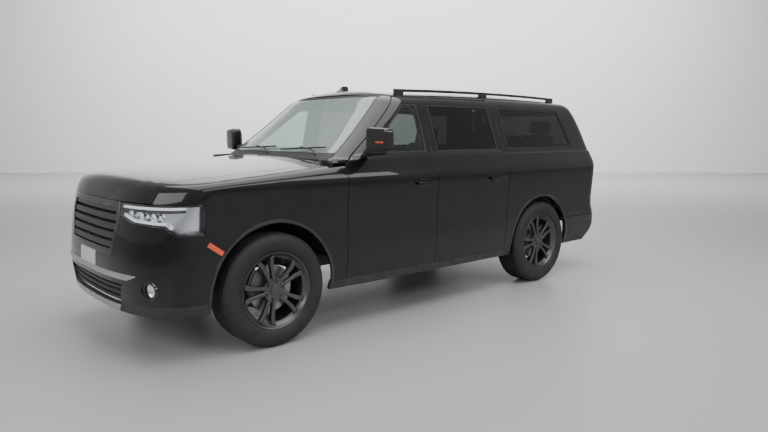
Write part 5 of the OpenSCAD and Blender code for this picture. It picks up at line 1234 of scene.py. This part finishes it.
def screen_point(x, z, out):
    y_in = fa(float(curve((z - BELT) * 1000, SCREEN_SETBACK))) + 0.6
    p = hits(cabin_shape, np.array([[x, y_in, z]]), np.array([[0, -1.0, 0]]))
    return Vector(p[0]) + Vector(normals_of(cabin_shape, p)[0]) * out


for n, (a, b) in enumerate(((0.12, 0.66), (-0.58, 0.0))):
    blade = [screen_point(a + (b - a) * t, 1.352 + 0.024 * t, 0.010) for t in (0, 0.25, 0.5, 0.75, 1)]
    rod(f"wiper_blade_{n}", blade, 0.006, "chassis", SEAL)
    rod(f"wiper_arm_{n}", [screen_point(b - 0.02, 1.318, 0.012), screen_point(b - 0.06, 1.336, 0.02),
                           screen_point((a + b) / 2, 1.366, 0.022)], 0.0055, "chassis", MATT_BLACK)
gp = hits(body_shape, np.array([[x, 1.9, z] for x, z in ((0, 1.34), (-0.02, 1.372), (-0.18, 1.385), (-0.36, 1.39))]),
          np.array([[0, 1.0, 0]] * 4))
gn = normals_of(body_shape, gp)
rod("rear_wiper", [Vector(p) + Vector(n) * 0.012 for p, n in zip(gp, gn)], 0.007, "liftgate_lid",
    MATT_BLACK)
panel("high_brake_lamp", "liftgate_lid", "red_lens", RED_INNER, body_shape, gate, (100, 110),
      [(flat_box(-0.16, 0.16, 1.765, 1.785), "y", True)], thick=0.008, depth=-0.004, lip=0.003)


# ---------------------------------------------------------------- seats
def seat_place(x, y, z, base):
    """The seat's own frame: its cushion, and its back leaning 16 degrees."""
    lean = Matrix.Rotation(math.radians(-16), 4, "X")
    cushion = Matrix.Translation((x, y + 0.27, z + base + 0.07))
    back = Matrix.Translation((x, y + 0.5, z + base + 0.07)) @ lean @ Matrix.Translation((0, 0.065, 0.29))
    head = Matrix.Translation((x, y + 0.5, z + base + 0.07)) @ lean @ Matrix.Translation((0, 0.0675, 0.665))
    return cushion, back, head


def crowned_pad(name, size, waist=0.93, cuts=6):
    """A closed pad whose sides pull in between its corners."""
    bm = soft_cube(cuts)
    for v in bm.verts:
        q = v.co * 2
        pull = 1 - (1 - waist) * (1 - abs(q.x) ** 2) * (1 - abs(q.y) ** 2)
        v.co = Vector((q.x * size[0] * (1 - 0.05 * q.y * q.y * abs(q.x)) / 2, q.y * size[1] / 2,
                       q.z * size[2] / 2 * pull))
    mesh = bpy.data.meshes.new(name)
    bm.to_mesh(mesh)
    bm.free()
    obj = bpy.data.objects.new(name, mesh)
    bpy.context.scene.collection.objects.link(obj)
    mod = obj.modifiers.new("round", "SUBSURF")
    mod.levels = mod.render_levels = 1
    return obj


def puffed(obj, voxel, cap):
    """The pad's mesh after air pressure has filled it, with no point moved further than cap."""
    scene = bpy.context.scene
    rm = obj.modifiers.new("remesh", "REMESH")
    rm.mode, rm.voxel_size = "VOXEL", voxel
    deps = bpy.context.evaluated_depsgraph_get()
    mesh = bpy.data.meshes.new_from_object(obj.evaluated_get(deps))
    obj.modifiers.clear()
    obj.data = mesh
    rest = np.array([v.co for v in mesh.vertices])
    cloth = obj.modifiers.new("cloth", "CLOTH")
    cs = cloth.settings
    cs.use_pressure, cs.uniform_pressure_force, cs.quality, cs.mass = True, 4.0, 4, 0.3
    cs.effector_weights.gravity = 0.0
    cs.tension_stiffness = cs.compression_stiffness = 25
    cloth.point_cache.frame_start, cloth.point_cache.frame_end = 1, 20
    for f in range(1, 21):
        scene.frame_set(f)
    deps = bpy.context.evaluated_depsgraph_get()
    out = obj.evaluated_get(deps).to_mesh()
    moved = np.array([v.co for v in out.vertices]) - rest
    obj.evaluated_get(deps).to_mesh_clear()
    obj.modifiers.clear()
    far = np.maximum(np.linalg.norm(moved, axis=1), 1e-9)
    moved *= np.minimum(1, cap / far)[:, None]
    for v, p in zip(mesh.vertices, rest + moved):
        v.co = p
    scene.frame_set(1)
    return mesh


def channelled(mesh, across, down, depth=0.007, width=0.006):
    """Sewn channels pressed into a pad's face: lines across it at given places, and two lines along it."""
    for v in mesh.vertices:
        d = min([abs(v.co.y - a) for a in across] + [9])
        e = min([abs(abs(v.co.x) - a) for a in down] + [9])
        press = max(math.exp(-(d / width) ** 2) * (1 if abs(v.co.x) < max(down, default=9) else 0),
                    math.exp(-(e / width) ** 2))
        if v.co.z > 0:
            v.co.z -= depth * press
    return mesh


def pad(name, mesh, at, stretch=(1, 1, 1), stands_for=(), body="chassis"):
    """A copy of a finished pad, stretched and set in place, in leather."""
    copy = mesh.copy()
    copy.transform(at @ Matrix.Diagonal((*stretch, 1)))
    copy.shade_smooth()
    obj = add_piece(name, copy, body, LEATHER, stands_for)
    mod = obj.modifiers.new("round", "SUBSURF")
    mod.levels = mod.render_levels = 1
    return obj


VOXEL = 0.012
cushion_pad = crowned_pad("cushion_form", (0.505, 0.525, 0.125))
back_pad = crowned_pad("back_form", (0.485, 0.565, 0.112))
head_pad = crowned_pad("head_form", (0.24, 0.14, 0.085), 0.9, 4)
CUSHION = channelled(puffed(cushion_pad, VOXEL, 0.006), (-0.13, 0.0, 0.12), (0.17,))
BACK = channelled(puffed(back_pad, VOXEL, 0.007), (-0.16, -0.03, 0.1), (0.155,))
HEAD = channelled(puffed(head_pad, 0.008, 0.004), (), ())
for o in (cushion_pad, back_pad, head_pad):
    bpy.data.objects.remove(o)
# a back or head pad is made lying flat: turned up, its face looks forward
STAND = Matrix.Rotation(math.radians(90), 4, "X")

posts, shells, bases = bmesh.new(), bmesh.new(), bmesh.new()
rows = [("front_left", 0.41, fa(1270), Z_FLOOR, 0.18, 1.0, "front_seats"),
        ("front_right", -0.41, fa(1270), Z_FLOOR, 0.18, 1.0, ()),
        ("middle_left", 0.40, ra(-980), Z_FLOOR, 0.19, 1.07, "middle_seats"),
        ("middle_right", -0.40, ra(-980), Z_FLOOR, 0.19, 1.07, ()),
        ("rear_left", 0.37, ra(40), Z_LOAD, 0.12, 0.78, "rear_seats"),
        ("rear_middle", 0.0, ra(40), Z_LOAD, 0.12, 0.64, ()),
        ("rear_right", -0.37, ra(40), Z_LOAD, 0.12, 0.78, ())]
for name, x, y, z, base, wide, node in rows:
    c, b, h = seat_place(x, y, z, base)
    pad(name + "_cushion", CUSHION, c, (wide, 1, 1), node)
    pad(name + "_back", BACK, b @ STAND, (wide, 1, 1))
    if name != "rear_middle":
        pad(name + "_head_pad", HEAD, h @ STAND)
        for j in (-0.06, 0.06):
            lathe(posts, [(0.0, -0.11), (0.006, -0.11), (0.006, -0.05), (0.0, -0.05)],
                  h @ Vector((j, 0, 0)), h.to_3x3() @ Vector((0, 0, 1)), 12, close=False)
    half = 0.2 * wide
    block(bases, (x - half, y + 0.05, z + 0.003), (x + half, y + 0.41, z + base - 0.004), 0.012)
    before = set(shells.verts)
    block(shells, (-0.235 * wide, 0.05, -0.27), (0.235 * wide, 0.064, 0.27), 0.006)
    for v in shells.verts:
        if v not in before:
            v.co = b @ v.co
part("head_pad_posts", posts, "chassis", BRIGHT)
part("seat_back_shells", shells, "chassis", SOFT_TRIM)
part("seat_bases", bases, "chassis", MATT_BLACK)

# ---------------------------------------------------------------- steering wheel and dashboard
hub = Vector((0.41, fa(1120), 1.06))
tilt = Matrix.Translation(hub) @ Matrix.Rotation(math.radians(-65), 4, "X")
bm = bmesh.new()
ring = [(0.178 + 0.0145 * math.cos(a), 0.0145 * math.sin(a)) for a in [math.tau * i / 14 for i in range(14)]]
lathe(bm, ring, (0, 0, 0), (0, 0, 1), 72)
bmesh.ops.transform(bm, matrix=tilt, verts=bm.verts)
part("steering_rim", bm, "hand_wheel", LEATHER, "steering_wheel")
bm = bmesh.new()
lathe(bm, [(0.0, -0.03), (0.04, -0.03), (0.046, -0.014), (0.062, -0.01), (0.066, 0.004), (0.058, 0.013), (0.0, 0.018)],
      (0, 0, 0), (0, 0, 1), 48, close=False)
for a in (0, 180, 270):
    before = set(bm.verts)
    block(bm, (0.05, -0.017, -0.007), (0.17, 0.017, 0.006), 0.005, 3)
    turn = Matrix.Rotation(math.radians(a), 4, "Z")
    for v in bm.verts:
        if v not in before:
            v.co.y *= 1 + (0.17 - v.co.x) * 3
            v.co = turn @ v.co
bmesh.ops.transform(bm, matrix=tilt, verts=bm.verts)
part("steering_spokes", bm, "hand_wheel", SOFT_TRIM)
bm = bmesh.new()
for a in (0, 180):
    before = set(bm.verts)
    for k in range(3):
        block(bm, (0.085 + k * 0.02, -0.011, 0.005), (0.101 + k * 0.02, 0.011, 0.0095), 0.002)
    turn = Matrix.Rotation(math.radians(a), 4, "Z")
    for v in bm.verts:
        if v not in before:
            v.co = turn @ v.co
bmesh.ops.transform(bm, matrix=tilt, verts=bm.verts)
part("steering_buttons", bm, "hand_wheel", GLOSS_BLACK)


def dash_profile(bm, x0, x1, points, bevel=0.012):
    """A bar across the cabin with a given side outline of (y, z)."""
    pulled(bm, [(x0, y, z) for y, z in points], (x1 - x0, 0, 0))
    edges = [e for e in bm.edges if e.calc_length() > 0.01]
    bmesh.ops.bevel(bm, geom=edges, offset=bevel, offset_type="OFFSET", segments=3, profile=0.5, affect="EDGES",
                    material=-1)


bm = bmesh.new()
dash_profile(bm, -0.875, 0.875, [(fa(622), 1.19), (fa(700), 1.222), (fa(850), 1.214), (fa(930), 1.18), (fa(955), 1.135),
                                 (fa(938), 1.06), (fa(900), 1.02), (fa(905), 0.93), (fa(850), 0.875), (fa(622), 0.875)])
part("dash_body", bm, "chassis", SOFT_TRIM, "dashboard")
bm = bmesh.new()
dash_profile(bm, 0.225, 0.595, [(fa(805), 1.18), (fa(830), 1.25), (fa(975), 1.254), (fa(984), 1.244), (fa(935), 1.232),
                                (fa(905), 1.12)], bevel=0.006)
part("instrument_hood", bm, "chassis", SOFT_TRIM)
bm = bmesh.new()
block(bm, (0.245, fa(900), 1.135), (0.575, fa(912), 1.228), 0.004)
block(bm, (-0.155, fa(948), 1.045), (0.135, fa(966), 1.235), 0.006)
part("displays", bm, "chassis", SCREEN)
bm = bmesh.new()
for x in (-0.78, -0.24, 0.17, 0.74):
    for k in range(5):
        block(bm, (x - 0.055, fa(944), 1.092 + k * 0.012), (x + 0.055, fa(962), 1.096 + k * 0.012), 0.0012, 1)
    for dx in (-0.058, 0.055):
        block(bm, (x + dx, fa(940), 1.084), (x + dx + 0.004, fa(962), 1.15), 0.001, 1)
part("air_vents", bm, "chassis", GLOSS_BLACK)
bm = bmesh.new()
dash_profile(bm, -0.13, 0.13, [(fa(945), Z_FLOOR + 0.004), (fa(945), 0.93), (fa(1010), 0.90), (fa(1100), 0.822),
                               (fa(1420), 0.812), (fa(1450), 0.848), (fa(1940), 0.848), (fa(1956), 0.82),
                               (fa(1956), Z_FLOOR + 0.004)], bevel=0.012)
part("centre_console", bm, "chassis", SOFT_TRIM)
bm = bmesh.new()
for y0 in (1160, 1270):
    lathe(bm, [(0.036, 0.0), (0.043, 0.003), (0.043, 0.007), (0.036, 0.006)], (0.055, fa(y0), 0.816), (0, 0, 1), 36)
lathe(bm, [(0.0, 0.0), (0.03, 0.0), (0.028, 0.02), (0.0, 0.024)], (-0.05, fa(1200), 0.816), (0, 0, 1), 32, close=False)
part("console_rings", bm, "chassis", BRIGHT)
bm = bmesh.new()
lathe(bm, [(0.0, -0.24), (0.034, -0.24), (0.038, -0.2), (0.036, -0.06), (0.03, -0.036), (0.0, -0.034)], (0, 0, 0),
      (0, 0, 1), 36, close=False)
bmesh.ops.transform(bm, matrix=tilt, verts=bm.verts)
for s in (1, -1):
    before = set(bm.verts)
    block(bm, (0.03, -0.006, -0.075), (0.16, 0.006, -0.063), 0.004)
    for v in bm.verts:
        if v not in before:
            v.co = tilt @ Vector((v.co.x * s, v.co.y, v.co.z))
part("column_and_stalks", bm, "chassis", MATT_BLACK)
bm = bmesh.new()
mirror_at = (0, fa(1190), 1.72)
block(bm, (-0.12, mirror_at[1], 1.695), (0.12, mirror_at[1] + 0.022, 1.76), 0.009, 3)
block(bm, (-0.012, mirror_at[1] - 0.07, 1.75), (0.012, mirror_at[1] + 0.01, 1.772), 0.004)
part("inside_mirror", bm, "chassis", MATT_BLACK)
for x, tag in ((0.30, "brake"), (0.44, "drive")):
    bm = bmesh.new()
    block(bm, (x - 0.035, fa(700), 0.69), (x + 0.035, fa(712), 0.79), 0.005)
    block(bm, (x - 0.008, fa(672), 0.72), (x + 0.008, fa(702), 0.9), 0.003)
    part(tag + "_pedal", bm, "chassis", MATT_BLACK)
for s, side in ((1, "left"), (-1, "right")):
    for end, y0, y1 in (("front", Y_DOOR_FRONT + 0.2, Y_PILLAR - 0.12), ("rear", Y_PILLAR + 0.14, Y_DOOR_REAR - 0.14)):
        bm = bmesh.new()
        x = HALF_WIDTH - WALL - 0.014
        block(bm, (x - 0.058, y0, 0.93), (x + 0.004, y1, 0.968), 0.012, 3)
        block(bm, (x - 0.03, y0 + 0.03, 0.68), (x + 0.004, y1 - 0.1, 0.79), 0.014, 3)
        for v in bm.verts:
            v.co.x *= s
        part(f"{side}_{end}_arm_rest", bm, f"{side}_{end}_door_leaf", LEATHER)
        bm = bmesh.new()
        block(bm, (x - 0.03, y0 + 0.06, 1.06), (x - 0.018, y0 + 0.17, 1.08), 0.004)
        block(bm, (x - 0.02, y0 + 0.05, 1.05), (x + 0.006, y0 + 0.18, 1.09), 0.006)
        for v in bm.verts:
            v.co.x *= s
        part(f"{side}_{end}_inner_handle", bm, f"{side}_{end}_door_leaf", BRIGHT)

# ---------------------------------------------------------------- carried-over nodes and their finishes
for node, finish in (("ladder_frame", FRAME_COAT), ("tow_receiver", FRAME_COAT), ("floor_pan", CARPET),
                     ("bulkhead", UNDER_PAINT), ("rear_bumper", MATT_BLACK), ("roof_rails", GLOSS_BLACK),
                     ("left_knuckle", IRON), ("right_knuckle", IRON), ("front_suspension", FRAME_COAT),
                     ("rear_axle", FRAME_COAT), ("engine_block", CASTING), ("exhaust", EXHAUST), ("fuel_tank", TANK)):
    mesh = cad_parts[node].data
    if not mesh.materials:
        mesh.materials.append(finish)
    for k in range(len(mesh.materials)):
        mesh.materials[k] = finish


# ---------------------------------------------------------------- floor, wall, light and camera
def stage_material(name, colour, rough):
    m = bpy.data.materials.new(name)
    m.use_nodes = True
    b = m.node_tree.nodes["Principled BSDF"]
    b.inputs["Base Color"].default_value = (*colour, 1)
    b.inputs["Roughness"].default_value = rough
    return m


def stage_plane(name, corners, finish):
    bm = bmesh.new()
    bm.faces.new([bm.verts.new(c) for c in corners])
    mesh = bpy.data.meshes.new(name)
    bm.to_mesh(mesh)
    bm.free()
    obj = bpy.data.objects.new(name, mesh)
    bpy.context.scene.collection.objects.link(obj)
    mesh.materials.append(finish)


CAMERA_AT = Vector((4.734, -3.927, 1.499))
HEADING, DIP = math.radians(-49), math.radians(-7.49)
LOOK = Vector((math.sin(HEADING) * math.cos(DIP), math.cos(HEADING) * math.cos(DIP), math.sin(DIP)))
AWAY = Vector((LOOK.x, LOOK.y, 0)).normalized()
ACROSS = Vector((AWAY.y, -AWAY.x, 0))
floor_at = Vector((CAMERA_AT.x, CAMERA_AT.y, 0))
wall_at = floor_at + AWAY * 23.8
stage_plane("floor", [floor_at - AWAY * 20 - ACROSS * 40, floor_at - AWAY * 20 + ACROSS * 40,
                      wall_at + ACROSS * 40, wall_at - ACROSS * 40],
            stage_material("floor_grey", (0.4, 0.4, 0.41), 0.42))
stage_plane("wall", [wall_at - ACROSS * 40, wall_at + ACROSS * 40, wall_at + ACROSS * 40 + Vector((0, 0, 20)),
                     wall_at - ACROSS * 40 + Vector((0, 0, 20))],
            stage_material("wall_white", (0.86, 0.855, 0.83), 0.8))


def softbox(name, at, target, width, height, power):
    data = bpy.data.lights.new(name, "AREA")
    data.shape, data.size, data.size_y, data.energy = "RECTANGLE", width, height, power
    obj = bpy.data.objects.new(name, data)
    bpy.context.scene.collection.objects.link(obj)
    obj.location = at
    obj.rotation_euler = (Vector(target) - Vector(at)).to_track_quat("-Z", "Y").to_euler()


softbox("overhead", (0.5, 0, 6.5), (0, 0, 0), 7, 9, 620)
softbox("left_side", (7.5, 1.5, 4.6), (0, 0.3, 1.2), 8, 2, 200)
softbox("nose_side", (2.0, -8.5, 4.4), (0, -1, 0.7), 8, 3, 280)
softbox("far_wall", tuple(wall_at - AWAY * 6 + Vector((0, 0, 8))), tuple(wall_at + Vector((0, 0, 1))), 22, 5, 2600)

world = bpy.data.worlds.new("room")
bpy.context.scene.world = world
world.use_nodes = True
world.node_tree.nodes["Background"].inputs[0].default_value = (0.86, 0.87, 0.9, 1)
world.node_tree.nodes["Background"].inputs[1].default_value = 0.5

camera_data = bpy.data.cameras.new("camera")
camera_data.lens, camera_data.sensor_width = 29.8, 36
camera = bpy.data.objects.new("camera", camera_data)
bpy.context.scene.collection.objects.link(camera)
camera.location = CAMERA_AT
camera.rotation_euler = LOOK.to_track_quat("-Z", "Y").to_euler()
bpy.context.scene.camera = camera
